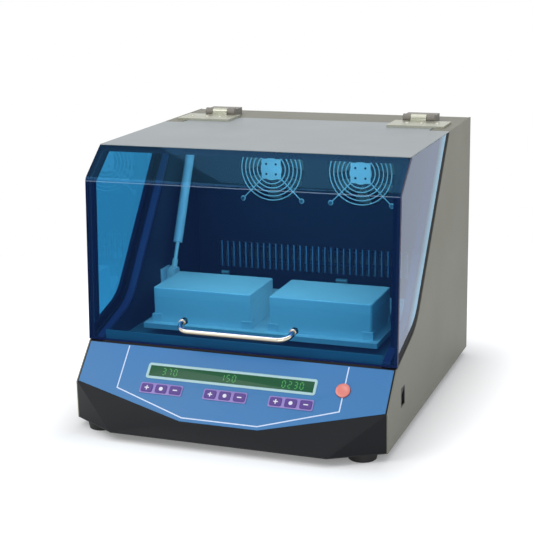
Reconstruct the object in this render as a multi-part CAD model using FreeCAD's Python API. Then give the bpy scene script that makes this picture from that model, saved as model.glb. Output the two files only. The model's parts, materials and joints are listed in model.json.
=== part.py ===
import FreeCAD, Part
import math
import os

# Shaking incubator: a heated shaking chamber under a tinted hood that tips up at the rear.
# Lengths are millimetres. x points to the right, y to the back and z up. The pieces are drawn from the
# front corners and the underside of the casing, and save() moves them to the part's own frame.

# Casing
case_w = 480.0          # width over the two side panels
case_d = 503.0          # depth from the front corners to the rear edge
case_h = 395.0          # height above the feet
sheet = 2.0             # thickness of the steel sheets
fit = 0.3               # gap where a moving piece closes on a soft or curved neighbour
running = 0.05          # radial clearance of a shaft in its bore

# Bowed front with the sloping panel
bow_y = 43.0            # how far the foot of the fascia stands in front of its corners
bow_half = case_w / 2 - 75   # half width of the straight middle of the foot
panel_low = 57.0        # height of the panel's outer lower corners
panel_run = 48.0        # depth of the slope
panel_rise = 50.0       # height of the slope
chin_half = 60.0        # half width of the panel's lowest edge
chin_run = 32.0         # how far that edge stands in front of the corners
fascia_wall = 3.0
sill_d = 8.0            # level ledge behind the slope, which the hood closes on

# Front edge of the side panels, as height and depth of its bend and its top
edge_y, edge_z = 155.0, 138.0
edge_radius = 90.0
wall_gap = 22.0         # from the outside of a side panel to the lining
flange_w = 30.0         # width of the side panels' top flanges

# Chamber
floor_z = 96.0
lip_h = 27.0            # height of the folded lip at the front of the chamber floor
duct_room = 85.0        # depth of the air duct behind the chamber's rear wall
rear_wall_y = case_d - duct_room
edge_top_y = rear_wall_y - 66
slot_w, slot_h, slot_pitch, slot_z = 5.0, 45.0, 11.0, 158.0
slot_half = case_w / 2 - 57   # the slots fill the rear wall this far to each side

# Hood
bend_y, bend_z = 63.0, case_h - 43
brow_y = 117.0          # front edge of the metal top
acrylic = 6.0           # thickness of the tinted windows
bend_radius = 12.0
seal_gap = 6.0          # gap round the hood's side windows, which the seal fills
foot_gap = 2.2          # gap under the front window
top_sheet = 1.5
top_return = 12.0       # folded edges of the metal top
brow_return = 6.0       # folded edge of the metal top behind the front window
strip_w = 6.0           # corner strips that join the windows

# Hinges and gas strut
hinge_y, hinge_z, knuckle_r, pin_r = rear_wall_y + 12, case_h + 7, 6.3, 2.5
hinge_x, barrel_w, leaf_w, leaf_t, leaf_front = case_w / 2 - 68, 52.0, 92.0, 3.5, hinge_y - 60
block_d = 25.0
strut_x = 40 - case_w / 2
strut_top_y, strut_top_z = hinge_y - 52, case_h - 10
strut_low_y, strut_low_z = hinge_y - 157, case_h - 237
tube_r, tube_wall, rod_r, tube_len = 7.5, 1.0, 3.0, 199.0
eye_r, eye_t, stud_r = 7.0, 8.0, 3.5
low_pin_r, low_eye_wall, neck_l = 2.0, 2.5, 10.0
eye_slack = 7.0         # clearance of the lower eye round its pin, the open pivot of the linkage
bracket_d, bracket_low, bracket_up = 32.0, 26.0, 8.0

# Handle
handle_half, handle_z, handle_out, handle_drop, handle_r = 86.0, 147.0, 20.0, 7.0, 4.2

# Orbital drive and platform
throw = 10.0            # radius of the orbit
phase = -70.0           # direction of the throw at rest, in degrees from x
tray_rise_y = rear_wall_y - 168   # depth of the platform's middle when its throw is nought
spindle_y = tray_rise_y - 70
idler_x, idler_y = 140.0, tray_rise_y + 70
motor_x, motor_y, motor_r, motor_h = -150.0, spindle_y - 90, 30.0, 44.0
shaft_r, idler_shaft_r, motor_shaft_r, crank_pin_r, idler_pin_r = 7.5, 5.0, 4.0, 6.0, 4.0
pulley_r, small_pulley_r, pulley_h, belt_t = 40.0, 14.0, 14.0, 2.5
pulley_z, disc_z, disc_h, disc_r, weight_r, idler_disc_r = 62.0, 81.0, 9.0, 26.0, 36.0, 20.0
tray_w, tray_d, tray_t, tray_top, tray_edge = case_w - 106, rear_wall_y - 178, 3.0, 118.0, 8.0
holder_h, holder_w = 12.0, 14.0
bolt_x, bolt_y, bolt_r = tray_w - 44, tray_d - 40, 2.5

# Lidded boxes on the platform
box_d, box_h, box_wall, box_space = 102.0, 38.0, 2.5, 30.0
box_w = (tray_w - box_space - 24) / 2
box_front = 14.0        # from the front edge of the platform to the boxes
lid_h, lid_lap = 16.0, 6.0

# Fans
fan_x, fan_z, fan_size, fan_depth, fan_screws = 78.0, case_h - 85, 120.0, 25.0, 105.0
blade_count, ring_count, ring_r, ring_step, wire, guard_plate = 7, 6, 53.0, 7.0, 2.0, 17.0

# Keys, button and display on the panel, along the slope from its outer lower corners
overlay_t, pad_t, overlay_margin = 0.8, 0.8, 2.0
key_w, key_d, key_pitch, key_up, key_s = 18.0, 13.0, 22.5, 1.2, 1.5
key_x = (-101.0, -1.0, 99.0)
key_gap, key_travel = 0.3, 0.6
pad_margin = 2.0        # the raised pad's border round its three keys
button_x, button_s, button_r, button_travel = case_w / 2 - 70, 29.0, 10.5, 1.0
window_w, window_d, window_s, window_rim, window_t = 254.0, 19.0, 29.5, 4.0, 1.0
board_depth = 8.0       # from the face of the fascia to the board behind it

# Switch, inlet and feet
switch_y, switch_z, switch_d, switch_h, switch_tilt = 80.0, 57.0, 21.0, 29.0, 7.0
inlet_x, inlet_z, inlet_w, inlet_h, inlet_deep = case_w / 2 - 80, 50.0, 27.0, 20.0, 22.0
foot_h, foot_r, foot_x, foot_front, foot_back = 12.0, 22.0, case_w / 2 - 38, 6.0, case_d - 33
vent_x, vent_z, vent_h = 50 - case_w / 2, 25.0, 25.0
supply_w, supply_d, supply_h, supply_x = 100.0, 105.0, 40.0, idler_x - 45
card_w, card_d, card_up, card_x = 120.0, 100.0, 8.0, -idler_x - 60
divider_gap, divider_t = 60.0, 8.0
heater_half, heater_gap, heater_r = case_w / 2 - 70, 12.0, 4.0

half = case_w / 2
inner = half - sheet
panel_top = panel_low + panel_rise
slope = math.degrees(math.atan2(panel_rise, panel_run))
slope_len = math.hypot(panel_run, panel_rise)
chin_z = panel_low - chin_run * panel_rise / panel_run
chin_s = -math.hypot(chin_run, panel_low - chin_z)
roof = case_h - top_sheet
lining = half - wall_gap
rear_y = case_d - sheet
frame_shift_y = (bow_y - case_d) / 2


def V(x, y, z):
    return FreeCAD.Vector(x, y, z)


def box(x0, x1, y0, y1, z0, z1):
    return Part.makeBox(x1 - x0, y1 - y0, z1 - z0, V(x0, y0, z0))


def rod(r, start, along):
    """A cylinder of radius r from start along a vector."""
    return Part.makeCylinder(r, along.Length, start, along)


def tube(r_out, r_in, start, along):
    return rod(r_out, start, along).cut(rod(r_in, start, along))


def polygon(points):
    return Part.Face(Part.makePolygon(points + points[:1]))


def side_face(points):
    """A flat outline in the y and z plane."""
    return polygon([V(0, y, z) for y, z in points])


def plan_face(points):
    """A flat outline seen from above."""
    return polygon([V(x, y, 0) for x, y in points])


def across(face, x0, x1):
    """A side outline carried across from x0 to x1."""
    solid = face.extrude(V(x1 - x0, 0, 0))
    solid.translate(V(x0, 0, 0))
    return solid


def upright(face, z0, z1):
    """A plan outline carried up from z0 to z1."""
    solid = face.extrude(V(0, 0, z1 - z0))
    solid.translate(V(0, 0, z0))
    return solid


def fuse(*pieces):
    return pieces[0].multiFuse(list(pieces[1:])).removeSplitter()


def mirror(shape):
    return shape.mirror(V(0, 0, 0), V(1, 0, 0))


def both(shape):
    """A piece and its twin on the other side, as two solids."""
    return Part.makeCompound([shape, mirror(shape)])


def on_panel(shape):
    """Lays a piece drawn on the plan, x across and y up the slope, onto the sloping panel."""
    placed = shape.copy()
    placed.Placement = FreeCAD.Placement(V(0, 0, panel_low), FreeCAD.Rotation(V(1, 0, 0), slope))
    return placed


def save(name, shape):
    """Moves a piece from the casing's front corner to the part's frame and writes it."""
    placed = shape.copy()
    placed.translate(V(0, frame_shift_y, foot_h))
    for solid in placed.Solids:
        if not solid.isValid() or solid.Volume <= 0:
            raise ValueError(name + " is not a sound solid")
    placed.exportStep(os.path.join("parts", name + ".step"))
    box_of = placed.BoundBox
    print(name, len(placed.Solids), round(placed.Volume / 1000, 1), "cm3",
          [round(v, 1) for v in (box_of.XMin, box_of.XMax, box_of.YMin, box_of.YMax, box_of.ZMin, box_of.ZMax)])


# Outlines that several pieces share

def casing_outline():
    """Side view of the casing: fascia corner, slope, the front edge with its rounded bend, top and rear."""
    start = V(0, panel_run, panel_top)
    corner = V(0, edge_y, edge_z)
    end = V(0, edge_top_y, case_h)
    to_start = (start - corner).normalize()
    to_end = (end - corner).normalize()
    turn = to_start.getAngle(to_end) / 2
    back = edge_radius / math.tan(turn)
    middle = corner + (to_start + to_end).normalize() * (edge_radius / math.sin(turn) - edge_radius)
    bend = Part.Arc(corner + to_start * back, middle, corner + to_end * back).toShape()
    corners = [end, V(0, case_d, case_h), V(0, case_d, 0), V(0, 0, 0), V(0, 0, panel_low), start]
    lines = [Part.makeLine(corner + to_end * back, end)]
    lines += [Part.makeLine(a, b) for a, b in zip(corners, corners[1:])]
    lines += [Part.makeLine(start, corner + to_start * back)]
    return Part.Face(Part.Wire(Part.__sortEdges__([bend] + lines)))


def hood_line(inset, low, high):
    """Points of the hood's front in side view, moved back by inset, cut level at low and high."""
    foot = V(0, panel_run, panel_top)
    bend = V(0, bend_y, bend_z)
    brow = V(0, brow_y, case_h)
    lower = (bend - foot).normalize()
    upper = (brow - bend).normalize()
    lower_in = V(0, lower.z, -lower.y)
    upper_in = V(0, upper.z, -upper.y)
    turn = lower_in.getAngle(upper_in) / 2
    inner_bend = bend + (lower_in + upper_in).normalize() * (inset / math.cos(turn))
    at_low = inner_bend - lower * ((inner_bend.z - low) / lower.z)
    at_high = inner_bend + upper * ((high - inner_bend.z) / upper.z)
    return [(p.y, p.z) for p in (at_low, inner_bend, at_high)]


def bent_strip(x0, x1, near, far, low, high):
    """A sheet that follows the hood's front, between two depths behind its outer face."""
    outline = hood_line(near, low, high) + hood_line(far, low, high)[::-1]
    solid = across(side_face(outline), x0, x1)
    bends = [e for e in solid.Edges if e.BoundBox.XLength > abs(x1 - x0) - 0.01
             and abs(e.CenterOfMass.z - bend_z) < 0.15 * bend_z and bend_z - far < e.CenterOfMass.z]
    outer = min(bends, key=lambda e: e.CenterOfMass.y)
    solid = solid.makeFillet(bend_radius, [outer])
    return solid


casing_face = casing_outline()


# Casing

def base_pan():
    """Floor of the casing with its bowed front and folded side edges."""
    outline = [(-inner, rear_y - sheet), (-inner, 0), (-bow_half, -bow_y), (bow_half, -bow_y),
               (inner, 0), (inner, rear_y - sheet)]
    plate = upright(plan_face(outline), 0, sheet)
    fold = box(inner - sheet, inner, panel_run + sill_d, rear_y - 2 * sheet, 0, 5 * sheet)
    return fuse(plate, fold, mirror(fold))


def side_panel(side):
    """Outer side sheet with the swept front edge and its top flange."""
    panel = across(casing_face, inner, half)
    flange = box(half - flange_w, inner, edge_top_y, rear_wall_y, case_h - sheet, case_h)
    solid = fuse(panel, flange)
    if side < 0:
        return mirror(solid)
    switch_hole = box(inner - 1, half + 1, switch_y - switch_d / 2, switch_y + switch_d / 2,
                      switch_z - switch_h / 2, switch_z + switch_h / 2)
    return solid.cut(switch_hole)


def rear_cover():
    """Rear sheet and top strip in one bent piece, with the vent slots and the inlet's hole."""
    back = box(-inner, inner, rear_y - sheet, rear_y, sheet, case_h - fit - sheet)
    top = box(-inner, inner, rear_wall_y, rear_y, case_h - fit - sheet, case_h - fit)
    cuts = [box(inlet_x - inlet_w / 2 - sheet, inlet_x + inlet_w / 2 + sheet, rear_y - 2 * sheet, rear_y + 1,
                inlet_z - inlet_h / 2 - sheet, inlet_z + inlet_h / 2 + sheet)]
    for row in range(2):
        for column in range(14):
            x = vent_x + column * slot_pitch
            z = vent_z + row * 1.4 * vent_h
            cuts.append(box(x, x + slot_w, rear_y - 2 * sheet, rear_y + 1, z, z + vent_h))
    return fuse(back, top).cut(Part.makeCompound(cuts))


def fascia_block(inset, low):
    """The closed form of the bowed fascia, with its five faces moved in by inset."""
    side = inner - inset
    block = box(-side, side, -2 * bow_y, panel_run + sill_d + (inset and case_d), low, panel_top - inset)
    foot = V(inner, 0, 0)
    bow = V(bow_half, -bow_y, 0)
    low_corner = V(inner, 0, panel_low)
    chin = V(chin_half, -chin_run, chin_z)
    planes = [(bow, foot, low_corner), (low_corner, chin, bow),
              (V(-bow_half, -bow_y, 0), bow, chin),
              (V(-inner, 0, panel_low), low_corner, V(inner, panel_run, panel_top))]
    reach = 3 * case_w
    for a, b, c in planes:
        normal = (b - a).cross(c - a).normalize()
        away = Part.makeBox(2 * reach, 2 * reach, reach, V(-reach, -reach, 0))
        away.Placement = FreeCAD.Placement(a - normal * inset, FreeCAD.Rotation(V(0, 0, 1), normal))
        block = block.cut(away)
    return block.common(mirror(block))


def key_places():
    """Middle of each of the nine keys on the panel."""
    return [(x + step * key_pitch, key_s) for x in key_x for step in (-1, 0, 1)]


def panel_holes(grow, low, high):
    """Openings for the keys, the button and the display, from low to high above the fascia."""
    cuts = []
    for x, s in key_places():
        cuts.append(box(x - key_w / 2 - grow, x + key_w / 2 + grow,
                        s - key_d / 2 - grow, s + key_d / 2 + grow, low, high))
    cuts.append(rod(button_r + grow, V(button_x, button_s, low), V(0, 0, high - low)))
    cuts.append(box(-window_w / 2, window_w / 2, window_s - window_d / 2, window_s + window_d / 2, low, high))
    return Part.makeCompound(cuts)


board_x0, board_x1 = key_x[0] - 45, button_x + 14
board_s0, board_s1 = key_s - 14, window_s + 12
pillar_places = [(board_x0 + 5, window_s - 14), (board_x1 - 5, key_s - 9), (key_x[1] + 50, key_s - 9),
                 (key_x[1] - 50, key_s - 9)]


def front_fascia():
    """Charcoal moulding: a shell under the slope, the bowed apron and the ledge, with the board's pillars."""
    shell = fascia_block(0, sheet).cut(fascia_block(fascia_wall, -1))
    pillars = [on_panel(rod(3, V(x, s, -board_depth), V(0, 0, board_depth - 1))) for x, s in pillar_places]
    holes = on_panel(panel_holes(key_gap, -2 * fascia_wall, 2))
    return fuse(shell, *pillars).cut(holes)


def panel_overlay():
    """Blue face of the panel with three raised pads round the keys."""
    edge = plan_face([(-inner, slope_len), (inner, slope_len), (inner, 0), (chin_half, chin_s),
                      (-chin_half, chin_s), (-inner, 0)]).makeOffset2D(-overlay_margin)
    solid = upright(edge, 0, overlay_t)
    for x in key_x:
        reach_x = key_pitch + key_w / 2 + pad_margin
        reach_s = key_d / 2 + pad_margin
        pad = box(x - reach_x, x + reach_x, key_s - reach_s, key_s + reach_s, 0, overlay_t + pad_t)
        corners = [e for e in pad.Edges if e.BoundBox.ZLength > overlay_t]
        solid = solid.fuse(pad.makeFillet(pad_margin, corners))
    return on_panel(solid.removeSplitter().cut(panel_holes(key_gap, -1, 5)))


def display_window():
    """Tinted lens: a plug in the fascia's opening under a rim that lies on the overlay."""
    plug = box(-window_w / 2 + key_gap, window_w / 2 - key_gap, window_s - window_d / 2 + key_gap,
               window_s + window_d / 2 - key_gap, -fascia_wall + 1, overlay_t)
    rim = box(-window_w / 2 - window_rim, window_w / 2 + window_rim, window_s - window_d / 2 - window_rim / 2,
              window_s + window_d / 2 + window_rim / 2, overlay_t, overlay_t + window_t)
    return on_panel(fuse(plug, rim))


def panel_board():
    """Circuit board behind the fascia with digit blocks and one switch under each key."""
    board = box(board_x0, board_x1, board_s0, board_s1, -board_depth - 1.6, -board_depth)
    pieces = []
    for x in key_x:
        pieces.append(box(x - 22, x + 22, window_s - 8, window_s + 8, -board_depth, -fascia_wall + 0.7))
    top = -fascia_wall - 1.3 - key_travel - 0.3
    for x, s in key_places():
        pieces.append(box(x - 3, x + 3, s - 3, s + 3, -board_depth, top - 1))
        pieces.append(rod(1.7, V(x, s, -board_depth), V(0, 0, board_depth + top)))
    low = top - button_travel + key_travel
    pieces.append(rod(4, V(button_x, button_s, -board_depth), V(0, 0, board_depth + low)))
    return on_panel(fuse(board, *pieces))


def panel_key(x, s):
    """One key cap with the flange that holds it behind the fascia."""
    cap = box(x - key_w / 2, x + key_w / 2, s - key_d / 2, s + key_d / 2,
              -fascia_wall - 0.1, overlay_t + pad_t + key_up)
    top_edges = [e for e in cap.Edges if e.BoundBox.ZMin > overlay_t + pad_t]
    cap = cap.makeChamfer(0.5, top_edges)
    lip = 1.2
    flange = box(x - key_w / 2 - lip, x + key_w / 2 + lip, s - key_d / 2 - lip, s + key_d / 2 + lip,
                 -fascia_wall - 1.3, -fascia_wall - 0.1)
    return on_panel(fuse(cap, flange))


def start_button():
    """Round push button with a shallow dish and a flange behind the fascia."""
    high = overlay_t + 2.6
    cap = rod(button_r, V(button_x, button_s, -fascia_wall - 0.1), V(0, 0, fascia_wall + 0.1 + high))
    rim = [e for e in cap.Edges if abs(e.BoundBox.ZMax - high) < 0.01 and e.BoundBox.XLength > button_r]
    cap = cap.makeFillet(0.8, rim)
    dish_r = 60.0
    dish = Part.makeSphere(dish_r, V(button_x, button_s, high - 0.7 + dish_r))
    flange = rod(button_r + 2, V(button_x, button_s, -fascia_wall - 1.3), V(0, 0, 1.2))
    return on_panel(fuse(cap.cut(dish), flange))


# Chamber

def chamber_floor():
    """Floor sheet with its front lip and the holes that the crank pins pass through."""
    y0 = panel_run + sill_d
    side = lining - sheet
    solid = fuse(box(-side, side, y0, rear_wall_y, floor_z, floor_z + sheet),
                 box(-side, side, y0, y0 + sheet, floor_z, floor_z + lip_h))
    holes = [rod(r + throw + 4, V(x, y, floor_z - 1), V(0, 0, 2 * sheet))
             for x, y, r in ((0, spindle_y, crank_pin_r), (idler_x, idler_y, idler_pin_r),
                             (-idler_x, idler_y, idler_pin_r))]
    return solid.cut(Part.makeCompound(holes))


def chamber_wall():
    """Right lining sheet, with the flange along the swept edge that carries the seal."""
    y0 = panel_run + sill_d + sheet
    room = side_face([(y0, floor_z), (y0, case_h - sheet - fit), (rear_y - sheet, case_h - sheet - fit),
                      (rear_y - sheet, floor_z)])
    wall = across(casing_face.common(room), lining - sheet, lining)
    edge = casing_face.cut(casing_face.makeOffset2D(-sheet))
    front = side_face([(y0, floor_z), (y0, case_h - sheet - fit), (edge_top_y, case_h - sheet - fit),
                       (edge_top_y, edge_z), (edge_y, floor_z)])
    flange = across(edge.common(front), lining - sheet, inner)
    return fuse(wall, flange)


def chamber_rear_wall():
    """Rear wall of the chamber with its row of air slots and two fan openings."""
    wall = box(-lining + sheet, lining - sheet, rear_wall_y, rear_wall_y + sheet,
               floor_z, case_h - fit - sheet)
    cuts = []
    count = int(2 * slot_half / slot_pitch)
    for i in range(count):
        x = (i - (count - 1) / 2) * slot_pitch
        cuts.append(box(x - slot_w / 2, x + slot_w / 2, rear_wall_y - 1, rear_wall_y + 2 * sheet,
                        slot_z - slot_h / 2, slot_z + slot_h / 2))
    for x in (-fan_x, fan_x):
        cuts.append(rod(fan_size / 2 - 3, V(x, rear_wall_y - 1, fan_z), V(0, 2 * sheet, 0)))
    return wall.cut(Part.makeCompound(cuts))


def seal_outline(gap):
    """Side view of what lies between the casing's swept edge and a line gap above it, under the hood."""
    front = hood_line(acrylic + fit, panel_top + foot_gap, roof)
    room = side_face(front + [(edge_top_y, roof), (edge_top_y, panel_top + foot_gap)])
    return casing_face.makeOffset2D(gap).cut(casing_face).common(room)


def hood_gasket():
    """Rubber seals: one along each swept edge and one on the ledge under the front window."""
    edge = across(seal_outline(seal_gap - fit), lining - sheet + 1, half - 1)
    front = box(-inner + 1, inner - 1, panel_run + 1, panel_run + acrylic, panel_top,
                panel_top + foot_gap - fit)
    return Part.makeCompound([edge, mirror(edge), front])


# Hood

def hood_top():
    """Silver top sheet, full width in front and narrower between the flanges, with folded edges."""
    front_y = hood_line(0, 0, roof)[2][0]
    tongue = half - flange_w - 2
    rear = rear_wall_y - 2
    outline = [(-half, front_y), (half, front_y), (half, edge_top_y - 2), (tongue, edge_top_y - 2),
               (tongue, rear), (-tongue, rear), (-tongue, edge_top_y - 2), (-half, edge_top_y - 2)]
    plate = upright(plan_face(outline), roof, case_h)
    back = box(-tongue, tongue, rear - top_sheet, rear, roof - top_return, roof)
    side = box(tongue - top_sheet, tongue, strut_top_y + 18, rear, roof - top_return, roof)
    brow = across(side_face(hood_line(acrylic, roof - brow_return, roof)[2:]
                            + hood_line(acrylic, roof - brow_return, roof - brow_return)[2:]
                            + hood_line(acrylic + top_sheet, roof, roof - brow_return)[2:]
                            + hood_line(acrylic + top_sheet, roof, roof)[2:]),
                  -half + acrylic + strip_w + 1, half - acrylic - strip_w - 1)
    return fuse(plate, back, side, mirror(side), brow)


def front_window():
    """Tinted front window in one piece, bent at the brow, with the handle's two holes."""
    solid = bent_strip(-half, half, 0, acrylic, panel_top + foot_gap, roof)
    holes = [rod(3.2, V(x, 0, handle_z), V(0, 2 * bend_y, 0)) for x in (-handle_half, handle_half)]
    return solid.cut(Part.makeCompound(holes))


def side_window():
    """Right side window: its rear edge runs along the casing's swept edge, seal_gap above it."""
    low = panel_top + foot_gap
    front = hood_line(acrylic, low, roof)
    outline = side_face(front + [(edge_top_y - 2, roof), (edge_top_y - 2, low)])
    outline = outline.cut(casing_face.makeOffset2D(seal_gap))
    return across(outline, half - acrylic, half)


def corner_strip():
    """Bonded strip inside the right front corner of the hood."""
    low = panel_top + lip_h + sheet
    x1 = half - acrylic
    return bent_strip(x1 - strip_w, x1, acrylic, acrylic + strip_w, low, roof)


def handle():
    """Bright bow handle with round corners, washers outside and in, and studs through the window."""
    face = hood_line(0, handle_z, roof)[0][0]
    reach = math.hypot(handle_out, handle_drop)
    corner = 4 * handle_r
    h = handle_half
    lean = math.degrees(math.atan2(handle_drop, handle_out))
    quarter = corner * (1 - math.sqrt(0.5))
    path = [Part.makeLine(V(-h, 0, 0), V(-h, corner - reach, 0)),
            Part.Arc(V(-h, corner - reach, 0), V(-h + quarter, quarter - reach, 0),
                     V(-h + corner, -reach, 0)).toShape(),
            Part.makeLine(V(-h + corner, -reach, 0), V(h - corner, -reach, 0)),
            Part.Arc(V(h - corner, -reach, 0), V(h - quarter, quarter - reach, 0),
                     V(h, corner - reach, 0)).toShape(),
            Part.makeLine(V(h, corner - reach, 0), V(h, 0, 0))]
    section = Part.Wire(Part.makeCircle(handle_r, V(-h, 0, 0), V(0, 1, 0)))
    bow = Part.Wire(path).makePipeShell([section], True, True)
    bow.rotate(V(0, 0, 0), V(1, 0, 0), lean)
    bow.translate(V(0, face, handle_z))
    bow = bow.cut(box(-2 * h, 2 * h, face - 0.6, face + case_d, 0, case_h))
    pieces = []
    depth = hood_line(acrylic, handle_z, roof)[0][0]
    for x in (-h, h):
        pieces.append(rod(3, V(x, face - 2, handle_z), V(0, depth - face + 5, 0)))
        pieces.append(rod(5.5, V(x, face - 2.1, handle_z), V(0, 1.6, 0)))
        pieces.append(rod(5.5, V(x, depth + 0.5, handle_z), V(0, 3, 0)))
    return fuse(bow, *pieces)


# Hinges

def hinge_front_leaf():
    """Leaf on the hood with the middle knuckle, which turns on the pin."""
    x0 = hinge_x - leaf_w / 2 + 8
    knuckle_w = barrel_w / 2 - fit
    leaf = box(x0, x0 + leaf_w, leaf_front, hinge_y - knuckle_r, case_h, case_h + leaf_t)
    web = box(hinge_x - knuckle_w / 2, hinge_x + knuckle_w / 2, hinge_y - knuckle_r - 1, hinge_y,
              case_h + fit, hinge_z - 1)
    knuckle = rod(knuckle_r, V(hinge_x - knuckle_w / 2, hinge_y, hinge_z), V(knuckle_w, 0, 0))
    bore = rod(pin_r + running, V(hinge_x - barrel_w, hinge_y, hinge_z), V(2 * barrel_w, 0, 0))
    screws = [Part.makeSphere(5, V(hinge_x + dx, leaf_front + 26, case_h + leaf_t - 3)).common(
        box(0, half, 0, case_d, case_h, 2 * case_h)) for dx in (-11, 12, 38)]
    return fuse(leaf, web, knuckle, *screws).cut(bore)


def hinge_rear_leaf():
    """Block on the rear strip with the outer knuckles and the hinge pin."""
    top = case_h - fit
    x0 = hinge_x - barrel_w / 2
    knuckle_w = barrel_w / 4 - fit
    block = box(x0, x0 + barrel_w, hinge_y + knuckle_r + 0.7, hinge_y + knuckle_r + block_d, top, hinge_z + 4)
    pieces = [rod(pin_r, V(x0, hinge_y, hinge_z), V(barrel_w, 0, 0))]
    for x in (x0, x0 + barrel_w - knuckle_w):
        pieces.append(rod(knuckle_r, V(x, hinge_y, hinge_z), V(knuckle_w, 0, 0)))
        pieces.append(box(x, x + knuckle_w, hinge_y, hinge_y + knuckle_r + 2, top, hinge_z))
    return fuse(block, *pieces)


# Gas strut

strut_low = V(strut_x, strut_low_y, strut_low_z)
strut_top = V(strut_x, strut_top_y, strut_top_z)
strut_dir = (strut_top - strut_low).normalize()


def strut_upper_bracket():
    """Plate under the hood's top with the stud that the strut's upper eye turns on."""
    x1 = strut_x + eye_t / 2 + 3
    ear = side_face([(strut_top_y - 14, roof), (strut_top_y + 14, roof),
                     (strut_top_y + 7, strut_top_z - 8), (strut_top_y - 7, strut_top_z - 8)])
    plate = across(ear, x1, x1 + 3)
    foot = box(x1, x1 + 16, strut_top_y - 14, strut_top_y + 14, roof - 2, roof)
    x0 = strut_x - eye_t / 2 - 0.5
    stud = rod(stud_r, V(x0, strut_top_y, strut_top_z), V(x1 + 0.5 - x0, 0, 0))
    return fuse(plate, foot, stud)


def strut_cylinder():
    """Pressure tube with its end guide and the eye on the hood's stud."""
    start = strut_top - strut_dir * tube_len
    body = rod(tube_r, start, strut_dir * (tube_len - eye_r + 3)).cut(
        box(strut_x + eye_t / 2, strut_x + tube_r + 1, 0, case_d, strut_top_z - eye_r - 4, case_h))
    chamber = rod(tube_r - tube_wall, start + strut_dir * 6, strut_dir * (tube_len - eye_r - 12))
    guide = rod(rod_r + running, start - strut_dir, strut_dir * 8)
    eye = rod(eye_r, strut_top - V(eye_t / 2, 0, 0), V(eye_t, 0, 0))
    bore = rod(stud_r + running, strut_top - V(eye_t, 0, 0), V(2 * eye_t, 0, 0))
    return fuse(body, eye).cut(fuse(chamber, guide)).cut(bore)


def strut_rod():
    """Piston rod with its piston, and the lower eye screwed on it, open enough to swing round its pin."""
    hole_r = low_pin_r + eye_slack
    seat = hole_r + low_eye_wall + 1
    ring = rod(hole_r + low_eye_wall, strut_low - V(eye_t / 2, 0, 0), V(eye_t, 0, 0))
    neck = rod(rod_r + 1.5, strut_low, strut_dir * (seat + neck_l))
    hole = rod(hole_r, strut_low - V(eye_t, 0, 0), V(2 * eye_t, 0, 0))
    eye = fuse(ring, neck).cut(hole).cut(rod(rod_r, strut_low + strut_dir * seat, strut_dir * 2 * neck_l))
    length = (strut_top - strut_low).Length
    shaft = rod(rod_r, strut_low + strut_dir * seat, strut_dir * (length - seat - 29))
    piston = rod(tube_r - tube_wall - running, strut_low + strut_dir * (length - 35), strut_dir * 6)
    return Part.makeCompound([fuse(shaft, piston), eye])


def strut_lower_bracket():
    """Light clevis on the left lining: a back plate, two tapered cheeks and the pin."""
    wall = -lining + sheet
    gap = eye_t / 2 + 1
    y0, y1 = strut_low_y - bracket_d / 2, strut_low_y + bracket_d / 2
    z0, z1 = strut_low_z - bracket_low, strut_low_z + bracket_up
    cheek = side_face([(y0, z0), (y1, z0), (strut_low_y + bracket_up, z1), (strut_low_y - bracket_up, z1)])
    cheeks = [across(cheek, x, x + sheet) for x in (strut_x - gap - sheet, strut_x + gap)]
    back = box(wall, wall + sheet, y0, y1, z0, z1)
    shelf = box(wall, strut_x + gap + sheet, y0, y1, z0 - sheet, z0)
    pin = rod(low_pin_r, V(strut_x - gap - sheet, strut_low_y, strut_low_z), V(2 * (gap + sheet), 0, 0))
    return fuse(*cheeks, back, shelf, pin)


# Orbital drive

throw_x = throw * math.cos(math.radians(phase))
throw_y = throw * math.sin(math.radians(phase))
pin_top = tray_top - tray_t - 1


def crank(x, y, r_shaft, r_pin, r_disc):
    """Upright shaft with a disc on top and the pin that stands one throw off its axis."""
    shaft = rod(r_shaft, V(x, y, 2 * sheet), V(0, 0, disc_z - 2 * sheet))
    disc = rod(r_disc, V(x, y, disc_z), V(0, 0, disc_h))
    pin = rod(r_pin, V(x + throw_x, y + throw_y, disc_z), V(0, 0, pin_top - disc_z))
    return fuse(shaft, disc, pin)


def pulley(x, y, r, bore_r):
    """Belt pulley with two flanges."""
    body = rod(r, V(x, y, pulley_z), V(0, 0, pulley_h))
    groove = tube(r + 1, r - belt_t, V(x, y, pulley_z + 3), V(0, 0, pulley_h - 6))
    bore = rod(bore_r, V(x, y, pulley_z - 1), V(0, 0, pulley_h + 2))
    return body.cut(groove).cut(bore)


def main_crank():
    """Main crank with its belt pulley and the counterweight opposite the throw."""
    solid = crank(0, spindle_y, shaft_r, crank_pin_r, disc_r)
    weight = rod(weight_r, V(0, spindle_y, disc_z), V(0, 0, disc_h))
    away = V(throw_x, throw_y, 0).normalize()
    keep = Part.makeBox(100, 100, 100, V(-50, 0, -50))
    turn = FreeCAD.Rotation(V(0, 1, 0), V(-away.x, -away.y, 0))
    keep.Placement = FreeCAD.Placement(V(0, spindle_y, disc_z), turn)
    return fuse(solid, weight.common(keep), pulley(0, spindle_y, pulley_r, shaft_r - 1))


def bearing_housing(x, y, r_out, r_in, r_shaft, foot_r_):
    """Flanged post on the base pan, bored for a bearing at each end."""
    top = pulley_z - 3
    post = fuse(rod(r_out, V(x, y, sheet), V(0, 0, top - sheet)), rod(foot_r_, V(x, y, sheet), V(0, 0, 4)))
    return post.cut(rod(r_in, V(x, y, 0), V(0, 0, case_h)))


def drive_bearing(x, y, r_out, r_in, z):
    return tube(r_out, r_in + running, V(x, y, z), V(0, 0, 9))


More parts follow.
